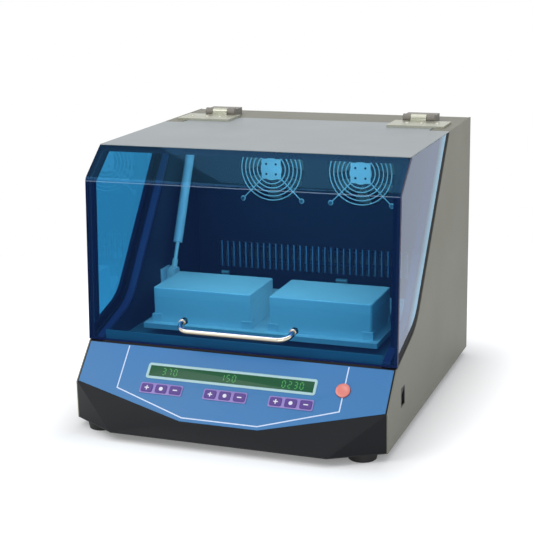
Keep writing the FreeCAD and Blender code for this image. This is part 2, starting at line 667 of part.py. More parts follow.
def motor():
    """Drive motor standing on the base pan, with its ribbed can and end boss."""
    z0 = 3 * sheet
    can = rod(motor_r, V(motor_x, motor_y, z0), V(0, 0, motor_h))
    base = box(motor_x - motor_r, motor_x + motor_r, motor_y - motor_r, motor_y + motor_r, sheet, z0)
    boss = rod(3 * motor_shaft_r, V(motor_x, motor_y, z0 + motor_h), V(0, 0, 5))
    grooves = [tube(motor_r + 1, motor_r - 1.5, V(motor_x, motor_y, z0 + motor_h * part / 5), V(0, 0, 3))
               for part in (1, 2, 3, 4)]
    return fuse(can, base, boss).cut(Part.makeCompound(grooves)).cut(
        rod(motor_shaft_r + running, V(motor_x, motor_y, z0 + sheet), V(0, 0, 2 * motor_h)))


def motor_pulley():
    """Motor shaft with its small pulley."""
    foot = 4 * sheet + 1
    shaft = rod(motor_shaft_r, V(motor_x, motor_y, foot), V(0, 0, pulley_z + pulley_h - foot))
    return fuse(shaft, pulley(motor_x, motor_y, small_pulley_r, motor_shaft_r - 1))


def drive_belt():
    """Flat belt round the two pulleys, a tangent loop of one thickness."""
    big = pulley_r - belt_t + fit
    small = small_pulley_r - belt_t + fit
    dx, dy = motor_x, motor_y - spindle_y
    distance = math.hypot(dx, dy)
    base_angle = math.atan2(dy, dx)
    swing = math.acos((big - small) / distance)

    def loop(extra):
        """Outline of the loop, extra outside the pulley grooves."""
        tangents = []
        for sign in (1, -1):
            a = base_angle + sign * swing
            out = V(math.cos(a), math.sin(a), 0)
            tangents.append((V(0, spindle_y, 0) + out * (big + extra),
                             V(motor_x, motor_y, 0) + out * (small + extra)))
        away = V(math.cos(base_angle), math.sin(base_angle), 0)
        big_back = V(0, spindle_y, 0) - away * (big + extra)
        small_back = V(motor_x, motor_y, 0) + away * (small + extra)
        edges = [Part.makeLine(tangents[0][0], tangents[0][1]),
                 Part.Arc(tangents[0][1], small_back, tangents[1][1]).toShape(),
                 Part.makeLine(tangents[1][1], tangents[1][0]),
                 Part.Arc(tangents[1][0], big_back, tangents[0][0]).toShape()]
        return Part.Face(Part.Wire(edges))

    return upright(loop(belt_t - 2 * fit).cut(loop(0)), pulley_z + 3 + fit, pulley_z + pulley_h - 3 - fit)


# Platform

tray_x = throw_x
tray_y = tray_rise_y + throw_y
tray_front = tray_y - tray_d / 2
box_y0 = tray_front + box_front
hub_places = [(0, spindle_y, crank_pin_r), (idler_x, idler_y, idler_pin_r), (-idler_x, idler_y, idler_pin_r)]


def box_places():
    """Left edge of each of the two boxes."""
    return [tray_x - box_space / 2 - box_w, tray_x + box_space / 2]


def platform_tray():
    """Platform plate with folded edges, corner holders for the boxes and four threaded holes."""
    x0, x1 = tray_x - tray_w / 2, tray_x + tray_w / 2
    y0, y1 = tray_front, tray_front + tray_d
    plate = box(x0, x1, y0, y1, tray_top - tray_t, tray_top)
    skirt = box(x0, x1, y0, y1, tray_top - tray_edge, tray_top).cut(
        box(x0 + sheet, x1 - sheet, y0 + sheet, y1 - sheet, 0, tray_top))
    corners = []
    for left in box_places():
        for cx, sx in ((left - fit, 1), (left + box_w + fit, -1)):
            for cy, sy in ((box_y0 - fit, 1), (box_y0 + box_d + fit, -1)):
                near_x, far_x = sorted((cx - sx * sheet, cx + sx * holder_w))
                near_y, far_y = sorted((cy - sy * sheet, cy + sy * holder_w))
                wall_x = sorted((cx - sx * sheet, cx))
                wall_y = sorted((cy - sy * sheet, cy))
                z0, z1 = tray_top - 1, tray_top + holder_h
                corners.append(fuse(box(wall_x[0], wall_x[1], near_y, far_y, z0, z1),
                                    box(near_x, far_x, wall_y[0], wall_y[1], z0, z1)))
    bolts = [rod(bolt_r, V(tray_x + sx * bolt_x / 2, tray_y + sy * bolt_y / 2, 0), V(0, 0, case_h))
             for sx in (-1, 1) for sy in (-1, 1)]
    return fuse(plate, skirt, *corners).cut(Part.makeCompound(bolts))


def platform_hubs():
    """Three bushed hubs under the platform that run on the crank pins."""
    hubs = []
    for x, y, r in hub_places:
        at = V(x + throw_x, y + throw_y, floor_z + sheet + 3)
        height = tray_top - tray_t - at.z
        hub = tube(r + 9, r + running, at, V(0, 0, height))
        plate = tube(r + 15, r + running, at + V(0, 0, height - 3), V(0, 0, 3))
        hubs.append(fuse(hub, plate))
    return Part.makeCompound(hubs)


def box_clips():
    """Spring clips behind the boxes: a foot on the platform, a leaf up the back and a rolled finger."""
    clips = []
    for left, wide in zip(box_places(), (12, 18)):
        middle = left + box_w / 2 - 8
        y0 = box_y0 + box_d + fit
        top = tray_top + box_h + lid_h + 1
        leaf = across(side_face([(y0 + 5, tray_top), (y0 + 6.5, tray_top), (y0 + 4.5, top), (y0 + 3, top)]),
                      middle, middle + wide)
        foot = box(middle, middle + wide, y0 + 5, y0 + 24, tray_top, tray_top + 1.5)
        finger = rod(3, V(middle, y0 + 3.6, top + 2), V(wide, 0, 0))
        clips.append(fuse(leaf, foot, finger))
    return Part.makeCompound(clips)


def sample_boxes():
    """Open boxes with a rolled rim that stand between the corner holders."""
    boxes = []
    for left in box_places():
        outer = box(left, left + box_w, box_y0, box_y0 + box_d, tray_top, tray_top + box_h)
        uprights = [e for e in outer.Edges if e.BoundBox.ZLength > box_h - 1]
        outer = outer.makeFillet(4, uprights)
        hollow = box(left + box_wall, left + box_w - box_wall, box_y0 + box_wall, box_y0 + box_d - box_wall,
                     tray_top + box_wall, tray_top + 2 * box_h)
        boxes.append(outer.cut(hollow))
    return Part.makeCompound(boxes)


def box_lid(left):
    """Lid: a flat top with rounded edges and a tongue that drops inside the box."""
    low = tray_top + box_h
    cap = box(left, left + box_w, box_y0, box_y0 + box_d, low, low + lid_h)
    uprights = [e for e in cap.Edges if e.BoundBox.ZLength > lid_h - 1]
    cap = cap.makeFillet(4, uprights)
    rim = [e for e in cap.Edges if e.BoundBox.ZMin > low + lid_h - 0.01]
    cap = cap.makeFillet(2, rim)
    cap = cap.cut(box(left + 2 * box_wall, left + box_w - 2 * box_wall, box_y0 + 2 * box_wall,
                      box_y0 + box_d - 2 * box_wall, low - 1, low + lid_h - box_wall))
    g = box_wall + fit
    t = 2 * box_wall
    tongue = box(left + g, left + box_w - g, box_y0 + g, box_y0 + box_d - g, low - lid_lap, low + 1).cut(
        box(left + t, left + box_w - t, box_y0 + t, box_y0 + box_d - t, low - 2 * lid_lap, low + 2))
    return fuse(cap, tongue)


# Fans, heater and air duct

def fan_housing(x):
    """Square fan frame with a round throat, four arms and the motor boss with its spindle."""
    y0 = rear_wall_y + sheet
    r = fan_size / 2 - 3
    frame = box(x - fan_size / 2, x + fan_size / 2, y0, y0 + fan_depth, fan_z - fan_size / 2,
                fan_z + fan_size / 2).cut(rod(r, V(x, y0 - 1, fan_z), V(0, fan_depth + 2, 0)))
    boss = rod(22, V(x, y0 + fan_depth - 4, fan_z), V(0, 4, 0))
    spindle = rod(pin_r, V(x, y0 + 6, fan_z), V(0, fan_depth - 6, 0))
    arms = []
    for i in range(4):
        arm = box(x - 3, x + 3, y0 + fan_depth - 3, y0 + fan_depth, fan_z + 15, fan_z + r + 1)
        arm.rotate(V(x, 0, fan_z), V(0, 1, 0), 45 + 90 * i)
        arms.append(arm)
    return fuse(frame, boss, spindle, *arms)


def fan_rotor(x):
    """Fan hub with its raked blades."""
    y0 = rear_wall_y + sheet + 1.5
    depth = fan_depth - 7.5
    bore = rod(pin_r + running, V(x, y0 + 3, fan_z), V(0, depth, 0))
    hub = rod(22, V(x, y0, fan_z), V(0, depth, 0)).cut(bore)
    blades = []
    for i in range(blade_count):
        middle = y0 + depth / 2
        blade = box(x - 1, x + 1, middle - 9, middle + 9, fan_z + 20, fan_z + fan_size / 2 - 5)
        blade.rotate(V(x, middle, fan_z), V(0, 0, 1), 48)
        blade.rotate(V(x, 0, fan_z), V(0, 1, 0), 360 * i / blade_count)
        blades.append(blade)
    slab = rod(fan_size / 2 - 4.5, V(x, y0, fan_z), V(0, depth, 0))
    return fuse(hub, *[b.common(slab) for b in blades])


def fan_guard(x):
    """Finger guard: concentric wire rings and a riveted plate on crossed wires that end in screw eyes."""
    y0 = rear_wall_y
    p = guard_plate
    plate = box(x - p, x + p, y0 - 2 * wire, y0 - wire, fan_z - p, fan_z + p)
    rivets = [rod(wire, V(x + sx * p / 2, y0 - 2.5 * wire, fan_z + sz * p / 2), V(0, wire, 0))
              for sx in (-1, 1) for sz in (-1, 1)]
    pieces = [plate] + rivets
    for i in range(ring_count):
        r = ring_r - i * ring_step
        pieces.append(tube(r + wire / 2, r - wire / 2, V(x, y0 - 2 * wire, fan_z), V(0, wire, 0)))
    reach = fan_screws / math.sqrt(2)
    for i in range(4):
        arm = box(x - wire / 2, x + wire / 2, y0 - wire, y0, fan_z + ring_r - ring_step * ring_count,
                  fan_z + reach)
        eye = rod(2 * wire, V(x, y0 - wire, fan_z + reach), V(0, wire, 0))
        for piece in (arm, eye):
            piece.rotate(V(x, 0, fan_z), V(0, 1, 0), 45 + 90 * i)
            pieces.append(piece)
    return fuse(*pieces)


def heater():
    """Bent heating rod behind the slots, held by two clips on the rear wall."""
    y = rear_wall_y + sheet + 16
    reach, gap, r = heater_half, heater_gap, heater_r
    a, b = V(-reach, y, slot_z - gap), V(reach, y, slot_z - gap)
    c, d = V(reach, y, slot_z + gap), V(-reach, y, slot_z + gap)
    turn = Part.Arc(b, V(reach + gap, y, slot_z), c).toShape()
    path = Part.Wire([Part.makeLine(a, b), turn, Part.makeLine(c, d)])
    section = Part.Wire(Part.makeCircle(r, a, V(1, 0, 0)))
    element = path.makePipeShell([section], True, True)
    low = slot_z - gap - r
    clips = []
    for x in (20 - reach, reach - 20):
        clips.append(box(x - 5, x + 5, rear_wall_y + sheet, y + r + 2, low - 12, low + 2))
        clips.append(box(x - 5, x + 5, y - 2, y + 2, low, slot_z + gap + r))
    return fuse(element, *clips)


def duct_divider():
    """Insulating board that closes the air duct behind the fans and the heater."""
    y0 = rear_wall_y + divider_gap
    return box(-lining + sheet, lining - sheet, y0, y0 + divider_t, floor_z, case_h - fit - sheet)


# Electrical pieces, feet and screws

def power_supply():
    """Perforated power supply box on four spacers."""
    x0, x1, y0, y1 = supply_x, supply_x + supply_w, idler_y + 30, idler_y + 30 + supply_d
    z0, z1 = 3 * sheet, 3 * sheet + supply_h
    room = box(x0 + sheet, x1 - sheet, y0 - 1, y1 - sheet, z0 + sheet, z1 - sheet)
    case = box(x0, x1, y0, y1, z0, z1).cut(room)
    step = supply_w / 12
    cuts = [box(x0 + step * i, x0 + step * i + 3, y0 + 15, y1 - 15, z1 - 2 * sheet, z1 + 1)
            for i in range(2, 11)]
    legs = [rod(3, V(x, y, sheet), V(0, 0, 2 * sheet + 1)) for x in (x0 + 8, x1 - 8) for y in (y0 + 8, y1 - 8)]
    return fuse(case.cut(Part.makeCompound(cuts)), *legs)


def control_board():
    """Main circuit board with its parts, on four spacers."""
    x0, x1, y0, y1 = card_x, card_x + card_w, idler_y + 30, idler_y + 30 + card_d
    top = sheet + card_up + 1.6
    pieces = [rod(3, V(x, y, sheet), V(0, 0, card_up)) for x in (x0 + 6, x1 - 6) for y in (y0 + 6, y1 - 6)]
    pieces += [box(x0 + 15, x0 + 45, y0 + 15, y0 + 40, top - 0.5, top + 18),
               box(x0 + 55, x0 + 75, y0 + 20, y0 + 40, top - 0.5, top + 3),
               box(x1 - 20, x1 - 8, y0 + 15, y1 - 25, top - 0.5, top + 12)]
    pieces += [rod(6, V(x0 + 25 + 18 * i, y1 - 22, top - 0.5), V(0, 0, 20)) for i in range(3)]
    return fuse(box(x0, x1, y0, y1, top - 1.6, top), *pieces)


def mains_inlet():
    """Appliance inlet with three blades in an open socket, flush with the rear edge."""
    w, h = inlet_w / 2, inlet_h / 2
    x0, x1, z0, z1 = inlet_x - w, inlet_x + w, inlet_z - h, inlet_z + h
    body = box(x0 - 1.5, x1 + 1.5, rear_y - inlet_deep - 4, rear_y, z0 - 1.5, z1 + 1.5)
    flange = box(x0 - 11, x1 + 11, rear_y, case_d, z0 - 4, z1 + 4)
    socket = box(x0, x1, rear_y - inlet_deep, case_d + 1, z0, z1)
    blades = [box(inlet_x + x - 1, inlet_x + x + 1, rear_y - inlet_deep - 1, rear_y - 5, inlet_z + z - 3,
                  inlet_z + z + 3) for x, z in ((-7, -2), (0, 2), (7, -2))]
    return fuse(fuse(body, flange).cut(socket), *blades)


rocker_x = half - 5.0


def rocker_housing():
    """Switch body behind the side panel, with the open well that the rocker tips in."""
    d, h = switch_d / 2, switch_h / 2
    body = box(rocker_x - 18, half, switch_y - d + 0.2, switch_y + d - 0.2, switch_z - h + 0.2, switch_z + h - 0.2)
    back = box(rocker_x - 18, inner, switch_y - d - 2, switch_y + d + 2, switch_z - h - 2, switch_z + h + 2)
    well = box(rocker_x - 9, half + 1, switch_y - d + 2.2, switch_y + d - 2.2, switch_z - h + 2.2,
               switch_z + h - 2.2)
    axle = rod(1.5, V(rocker_x - 3, switch_y - d + 1, switch_z), V(0, switch_d - 2, 0))
    return fuse(fuse(body, back).cut(well), axle)


def power_rocker():
    """Rocker on its axle, tipped to its off stop."""
    d, h = switch_d / 2 - 2.6, switch_h / 2 - 3.0
    outline = Part.makePolygon([V(rocker_x - 5, 0, switch_z - h), V(rocker_x + 3.2, 0, switch_z - h),
                                V(rocker_x + 1.6, 0, switch_z), V(rocker_x + 3.2, 0, switch_z + h),
                                V(rocker_x - 5, 0, switch_z + h), V(rocker_x - 5, 0, switch_z - h)])
    solid = Part.Face(outline).extrude(V(0, 2 * d, 0))
    solid.translate(V(0, switch_y - d, 0))
    solid = solid.cut(rod(1.5 + running, V(rocker_x - 3, switch_y - 2 * d, switch_z), V(0, 4 * d, 0)))
    solid.rotate(V(rocker_x - 3, switch_y, switch_z), V(0, 1, 0), switch_tilt)
    return solid


def feet():
    """Four rubber feet, tapered towards the floor."""
    pads = []
    for x in (-foot_x, foot_x):
        for y in (foot_front, foot_back):
            pads.append(Part.makeCone(foot_r - 2, foot_r, foot_h, V(x, y, -foot_h)).cut(
                rod(5, V(x, y, -foot_h - 1), V(0, 0, 6))))
    return Part.makeCompound(pads)


def case_screws():
    """Screw heads: round the rear cover and on the eyes of the fan guards."""
    heads = []
    for x in (-inner + 10, 0, inner - 10):
        for z in (12, case_h - 20):
            heads.append(rod(3.5, V(x, rear_y, z), V(0, sheet, 0)))
    for x in (-fan_x, fan_x):
        for sx in (-1, 1):
            for sz in (-1, 1):
                heads.append(rod(3, V(x + sx * fan_screws / 2, rear_wall_y - wire - 2, fan_z + sz * fan_screws / 2),
                                 V(0, 2, 0)))
    return Part.makeCompound(heads)


os.makedirs("parts", exist_ok=True)
save("base_pan", base_pan())
save("side_panel_left", side_panel(-1))
save("side_panel_right", side_panel(1))
save("rear_cover", rear_cover())
save("front_fascia", front_fascia())
save("panel_overlay", panel_overlay())
save("display_window", display_window())
save("panel_board", panel_board())
save("start_button", start_button())
for number, (x, s) in enumerate(key_places(), 1):
    save("key_%d" % number, panel_key(x, s))

save("chamber_floor", chamber_floor())
save("chamber_walls", both(chamber_wall()))
save("chamber_rear_wall", chamber_rear_wall())
save("hood_gasket", hood_gasket())
save("hood_top", hood_top())
save("front_window", front_window())
save("side_windows", both(side_window()))
save("corner_strips", both(corner_strip()))
save("handle", handle())
save("hinge_front_leaves", both(hinge_front_leaf()))
save("hinge_rear_leaves", both(hinge_rear_leaf()))
save("strut_upper_bracket", strut_upper_bracket())
save("strut_cylinder", strut_cylinder())
save("strut_rod", strut_rod())
save("strut_lower_bracket", strut_lower_bracket())

save("main_crank", main_crank())
save("idler_crank_left", crank(-idler_x, idler_y, idler_shaft_r, idler_pin_r, idler_disc_r))
save("idler_crank_right", crank(idler_x, idler_y, idler_shaft_r, idler_pin_r, idler_disc_r))
posts = [(0, spindle_y, 23, 16, shaft_r, 38)]
posts += [(x, idler_y, 16, 11, idler_shaft_r, 26) for x in (idler_x, -idler_x)]
save("bearing_housings", Part.makeCompound([bearing_housing(*post) for post in posts]))
save("drive_bearings", Part.makeCompound([drive_bearing(x, y, r_in, r_shaft, z) for x, y, r_out, r_in, r_shaft, f
                                          in posts for z in (sheet + 4, pulley_z - 12)]))
save("motor", motor())
save("motor_pulley", motor_pulley())
save("drive_belt", drive_belt())
save("platform_tray", platform_tray())
save("platform_hubs", platform_hubs())
save("box_clips", box_clips())
save("sample_boxes", sample_boxes())
save("box_lid_left", box_lid(box_places()[0]))
save("box_lid_right", box_lid(box_places()[1]))

save("fan_housings", Part.makeCompound([fan_housing(-fan_x), fan_housing(fan_x)]))
save("fan_guards", Part.makeCompound([fan_guard(-fan_x), fan_guard(fan_x)]))
save("fan_rotor_left", fan_rotor(-fan_x))
save("fan_rotor_right", fan_rotor(fan_x))
save("heater", heater())
save("duct_divider", duct_divider())
save("power_supply", power_supply())
save("control_board", control_board())
save("mains_inlet", mains_inlet())
save("rocker_housing", rocker_housing())
save("power_rocker", power_rocker())
save("feet", feet())
save("case_screws", case_screws())
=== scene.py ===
# %% [markdown]
# # A shaking incubator, dressed
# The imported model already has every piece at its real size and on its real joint. This script gives the
# pieces their finish: it loads the model as a fixed frame, keeps the solids that need only a better
# material, and lays finer surfaces over the ones that the eye rests on.

# %% Load the frame
import json
import math
import bmesh
import bpy
import numpy as np
from mathutils import Matrix, Vector


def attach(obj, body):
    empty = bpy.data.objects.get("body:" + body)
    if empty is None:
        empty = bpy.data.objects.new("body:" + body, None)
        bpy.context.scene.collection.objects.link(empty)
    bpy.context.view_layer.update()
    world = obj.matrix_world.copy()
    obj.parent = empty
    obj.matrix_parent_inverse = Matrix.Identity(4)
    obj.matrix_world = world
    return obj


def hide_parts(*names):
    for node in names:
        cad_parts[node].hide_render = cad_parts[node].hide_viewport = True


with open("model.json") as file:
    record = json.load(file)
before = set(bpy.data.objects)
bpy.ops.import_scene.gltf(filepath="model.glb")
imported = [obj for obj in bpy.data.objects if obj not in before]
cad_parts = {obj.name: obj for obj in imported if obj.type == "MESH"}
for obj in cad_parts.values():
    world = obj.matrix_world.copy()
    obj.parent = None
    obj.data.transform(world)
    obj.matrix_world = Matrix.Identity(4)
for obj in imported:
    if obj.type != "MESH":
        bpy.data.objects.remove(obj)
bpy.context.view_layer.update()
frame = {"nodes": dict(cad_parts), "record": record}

# %% [markdown]
# The casing is easiest to describe from its front corners: x across, y back, z up from its underside, in
# millimetres. One function turns such a place into the frame's metres, so every number below can be
# checked with a ruler.

# %% Places on the object
MIDDLE_Y, FOOT = 230.0, 12.0


def at(x, y, z):
    """Casing millimetres to frame metres: shift y by the middle of the depth and z by the foot, over 1000."""
    x, y, z = np.broadcast_arrays(np.asarray(x, float), np.asarray(y, float), np.asarray(z, float))
    return np.stack([x, y - MIDDLE_Y, z + FOOT], -1) / 1000


HALF, ROOF = 240.0, 393.5  # half the casing's width, and the underside of the hood's metal top
PANEL_LOW, PANEL_TOP, PANEL_DEPTH = 57.0, 107.0, 48.0  # heights of the sloping panel's edges, and its run
SLOPE = math.atan2(PANEL_TOP - PANEL_LOW, PANEL_DEPTH)


def on_panel(x, s, h):
    """A place on the sloping panel: x across, s up the slope from its outer lower corners, h above it."""
    x, s, h = np.broadcast_arrays(np.asarray(x, float), np.asarray(s, float), np.asarray(h, float))
    run, rise = math.cos(SLOPE), math.sin(SLOPE)
    return at(x, s * run - h * rise, PANEL_LOW + s * rise + h * run)


PANEL_NORMAL = on_panel(0, 0, 1) - on_panel(0, 0, 0)
print("the panel slopes by", round(math.degrees(SLOPE), 1), "degrees")


# %% [markdown]
# ## Camera
# The photograph was taken from the right of the front and a little above, with a long lens, so the upright
# edges stay nearly parallel. A camera is a place, a direction and a focal length. Its matrix holds the
# sideways, upward and backward directions as columns.

# %% The camera


def new_object(name, data):
    """An object at the origin that holds this data, linked to the scene."""
    thing = bpy.data.objects.new(name, data)
    bpy.context.scene.collection.objects.link(thing)
    return thing


YAW, PITCH, ROLL = 0.3627, 0.2631, -0.0217  # radians: turned to the left, tipped down, and a slight tilt
ahead = np.array([-math.sin(YAW) * math.cos(PITCH), math.cos(YAW) * math.cos(PITCH), -math.sin(PITCH)])
level = np.array([math.cos(YAW), math.sin(YAW), 0.0])
above = np.cross(level, ahead)
right = level * math.cos(ROLL) + above * math.sin(ROLL)
up = -level * math.sin(ROLL) + above * math.cos(ROLL)
lens = bpy.data.cameras.new("studio_camera")
lens.sensor_width = 36.0
lens.lens = 87.07
lens.clip_end = 30.0
camera = new_object("studio_camera", lens)
columns = np.column_stack([right, up, -ahead, at(703.6, -1678.3, 721.0)])
camera.matrix_world = Matrix([*columns.tolist(), [0, 0, 0, 1]])
bpy.context.scene.camera = camera
bpy.context.scene.view_settings.view_transform = "Standard"
print("camera", [round(v, 3) for v in camera.location], "lens", lens.lens)

# %% [markdown]
# ## Light and floor
# A product photograph is lit by broad soft lamps in a white room. The world is white where the camera, a
# reflection or a pane of glass looks at it, and dimmer as a lamp, so colours stay as they are written. The
# floor takes the object's shadow and is white elsewhere.

# %% Small helpers for node trees


def linear(r, g, b):
    """Screen colour from 0 to 255 to the linear colour that a shader takes."""
    value = np.array([r, g, b], float) / 255
    value = np.where(value <= 0.04045, value / 12.92, ((value + 0.055) / 1.055) ** 2.4)
    return (*value.tolist(), 1.0)


def add(tree, kind, **sockets):
    """Adds a node of this kind and sets its inputs, by name or by number as in _0, to values or links."""
    node = tree.nodes.new(kind)
    for key, value in sockets.items():
        name = key.replace("_", " ")
        target = node.inputs[name] if name in node.inputs else node.inputs[int(key[1:])]
        if isinstance(value, bpy.types.NodeSocket):
            tree.links.new(value, target)
        else:
            target.default_value = value
    return node


def maths(tree, operation, *values, kind="ShaderNodeMath"):
    """A Math node, or a Vector Math node, that does this operation on its values."""
    node = add(tree, kind, **{"_%d" % place: value for place, value in enumerate(values)})
    node.operation = operation
    return node


def blend(tree, share, first, second):
    """A mix of two colours: the first where the share is 0 and the second where it is 1."""
    node = tree.nodes.new("ShaderNodeMix")
    node.data_type = "RGBA"
    for place, value in ((0, share), (6, first), (7, second)):
        if isinstance(value, bpy.types.NodeSocket):
            tree.links.new(value, node.inputs[place])
        else:
            node.inputs[place].default_value = value
    return node.outputs[2]


def seen_rays(tree):
    """1 for a ray from the camera, a reflection or a pane of glass, and 0 for a ray that carries light."""
    rays = add(tree, "ShaderNodeLightPath")
    either = maths(tree, "MAXIMUM", rays.outputs["Is Camera Ray"], rays.outputs["Is Glossy Ray"])
    return maths(tree, "MAXIMUM", either.outputs[0], rays.outputs["Is Transmission Ray"]).outputs[0]


def blank_material(name):
    """A material with an empty tree and its output node."""
    made = bpy.data.materials.new(name)
    made.use_nodes = True
    made.node_tree.nodes.clear()
    return made, made.node_tree, made.node_tree.nodes.new("ShaderNodeOutputMaterial")


# %% [markdown]
# A world can be white to look at and still give little light, because its Light Path node tells which kind of
# ray asks. Two Background shaders are mixed by that answer.

# %% The world
WHITE = (1, 1, 1, 1)
world = bpy.data.worlds.new("white_room")
bpy.context.scene.world = world
world.use_nodes = True
tree = world.node_tree
tree.nodes.clear()
dim = add(tree, "ShaderNodeBackground", Color=(0.93, 0.96, 1.0, 1), Strength=0.55)
white = add(tree, "ShaderNodeBackground", Color=WHITE, Strength=1.0)
mixed = add(tree, "ShaderNodeMixShader", Fac=seen_rays(tree), _1=dim.outputs[0], _2=white.outputs[0])
add(tree, "ShaderNodeOutputWorld", Surface=mixed.outputs[0])
print("the world gives light at", dim.inputs["Strength"].default_value)

# %% [markdown]
# Three large lamps stand round the object: the key from the left of the front, a wide one above and a low one
# in front. Two weak strips under the hood stand in for the light that bounces about inside a real chamber.
# They are hidden from the camera and from reflections.

# %% Lamps


def lamp(name, place, aim, size, power, height=None):
    """A soft lamp at a place, pointing at aim: square, or a strip where a height is given."""
    light = bpy.data.lights.new(name, "AREA")
    light.size = size
    light.energy = power
    if height:
        light.shape = "RECTANGLE"
        light.size_y = height
    thing = new_object(name, light)
    thing.location = place
    thing.rotation_euler = (Vector(aim) - Vector(place)).to_track_quat("-Z", "Y").to_euler()
    print(name, power, "W")
    return thing


lamp("key_lamp", (-1.3, -1.5, 2.0), (0, 0, 0.2), 1.4, 16)
lamp("top_lamp", (0.1, 0.1, 2.3), (0, 0, 0.2), 1.8, 12)
lamp("front_lamp", (0.6, -2.6, 0.9), (0, 0, 0.22), 1.6, 9)
for glimmer in (lamp("chamber_lamp", (0, -0.135, 0.335), (0, 0.03, 0.13), 0.36, 0.36, 0.05),
                lamp("rear_chamber_lamp", (0, 0.04, 0.36), (0, 0.19, 0.2), 0.3, 0.2, 0.04)):
    glimmer.visible_camera = glimmer.visible_glossy = glimmer.visible_transmission = False

# %% [markdown]
# The floor is a white diffuse sheet with a glow of its own, so that it reads as white paper and still takes
# the shadow. The glow is weaker close to the base, which paints a deeper shadow round it, and far away the
# floor turns into plain white, so that it has no horizon. Distances come from Object coordinates by vector
# arithmetic.

# %% The floor
BASE, PAINTED_SHADOW_REACH = (0.23, 0.26, 0.0), 0.12  # half sizes of the base, and how far from it the painted shadow reaches
floor_material, tree, out = blank_material("floor_white")
spot = add(tree, "ShaderNodeTexCoord").outputs["Object"]
past = spot
for operation, *more in (("ABSOLUTE",), ("SUBTRACT", BASE), ("MAXIMUM", (0.0, 0.0, 0.0))):
    past = maths(tree, operation, past, *more, kind="ShaderNodeVectorMath").outputs[0]
past = maths(tree, "LENGTH", past, kind="ShaderNodeVectorMath").outputs["Value"]
# Painted shadow: the floor's glow is 0.2 at the base and rises to 0.6 at the reach.
painted_shadow_glow = add(tree, "ShaderNodeMapRange", Value=past, _1=0.0, _2=PAINTED_SHADOW_REACH, _3=0.2, _4=0.6)
glow = add(tree, "ShaderNodeEmission", Color=WHITE, Strength=painted_shadow_glow.outputs[0])
dark = add(tree, "ShaderNodeEmission", Color=WHITE, Strength=0.0)
lift = add(tree, "ShaderNodeMixShader", Fac=seen_rays(tree), _1=dark.outputs[0], _2=glow.outputs[0])
diffuse = add(tree, "ShaderNodeBsdfDiffuse", Color=(0.8, 0.8, 0.8, 1))
near = add(tree, "ShaderNodeAddShader", _0=diffuse.outputs[0], _1=lift.outputs[0])
far_off = maths(tree, "LENGTH", spot, kind="ShaderNodeVectorMath")
fade = add(tree, "ShaderNodeMapRange", Value=far_off.outputs["Value"], _1=0.55, _2=1.1)
plain = add(tree, "ShaderNodeEmission", Color=WHITE, Strength=1.0)
whole = add(tree, "ShaderNodeMixShader", Fac=fade.outputs[0], _1=near.outputs[0], _2=plain.outputs[0])
tree.links.new(whole.outputs[0], out.inputs["Surface"])
floor_mesh = bpy.data.meshes.new("floor")
floor_mesh.from_pydata([(-6, -6, 0), (6, -6, 0), (6, 6, 0), (-6, 6, 0)], [], [(0, 1, 2, 3)])
floor_mesh.materials.append(floor_material)
floor = new_object("floor", floor_mesh)
print("floor of", [round(v, 1) for v in floor.dimensions], "m")

# %% [markdown]
# ## Finishes
# A finish is more than a colour. Powder paint has a fine orange peel, brushed sheet has long scratches one
# way, and moulded plastic has a faint leather grain. Each effect is a node group with named inputs, built
# once and used in many materials with its own values. The groups read Object coordinates, so the grain has
# its real size and stays put when a joint moves.

# %% Node groups for grain and brushing


def effect(name, inputs):
    """A shader group with number inputs and the outputs Height and Mask, and its object coordinates."""
    group = bpy.data.node_groups.new(name, "ShaderNodeTree")
    for label, value in inputs:
        group.interface.new_socket(label, in_out="INPUT", socket_type="NodeSocketFloat").default_value = value
    for label in ("Height", "Mask"):
        group.interface.new_socket(label, in_out="OUTPUT", socket_type="NodeSocketFloat")
    place = group.nodes.new("ShaderNodeTexCoord").outputs["Object"]
    return group, group.nodes.new("NodeGroupInput"), group.nodes.new("NodeGroupOutput"), place


def grain_group():
    """Orange peel: one fine noise for the height and one broad noise for the patches of tone."""
    group, given, gives, place = effect("orange_peel", (("Grains per metre", 900.0),
                                                        ("Patches per metre", 9.0)))
    fine = add(group, "ShaderNodeTexNoise", Vector=place, Scale=given.outputs[0], Detail=2.0, Roughness=0.5)
    broad = add(group, "ShaderNodeTexNoise", Vector=place, Scale=given.outputs[1], Detail=4.0, Roughness=0.6)
    group.links.new(fine.outputs["Fac"], gives.inputs["Height"])
    group.links.new(broad.outputs["Fac"], gives.inputs["Mask"])
    return group


def brushed_group():
    """Brushing: a noise whose place is squeezed along the strokes, so that each speck becomes a long line."""
    group, given, gives, place = effect("brushed_lines", (("Lines per metre", 1500.0),
                                                          ("Patches per metre", 7.0)))
    squeeze = add(group, "ShaderNodeMapping", Vector=place, Scale=(0.02, 1.0, 1.0))
    lines = add(group, "ShaderNodeTexNoise", Vector=squeeze.outputs[0], Scale=given.outputs[0], Detail=3.0,
                Roughness=0.6)
    broad = add(group, "ShaderNodeTexNoise", Vector=place, Scale=given.outputs[1], Detail=3.0, Roughness=0.6)
    group.links.new(lines.outputs["Fac"], gives.inputs["Height"])
    group.links.new(broad.outputs["Fac"], gives.inputs["Mask"])
    return group


ORANGE_PEEL, BRUSHED = grain_group(), brushed_group()
print("effects:", ORANGE_PEEL.name, BRUSHED.name)

# %% [markdown]
# One function builds every opaque finish, with the colour as it looks on a screen. It takes a roughness, a
# share of metal and a relief, and the effect group gives them their small changes over the surface.

# %% One recipe for painted, metal and plastic finishes


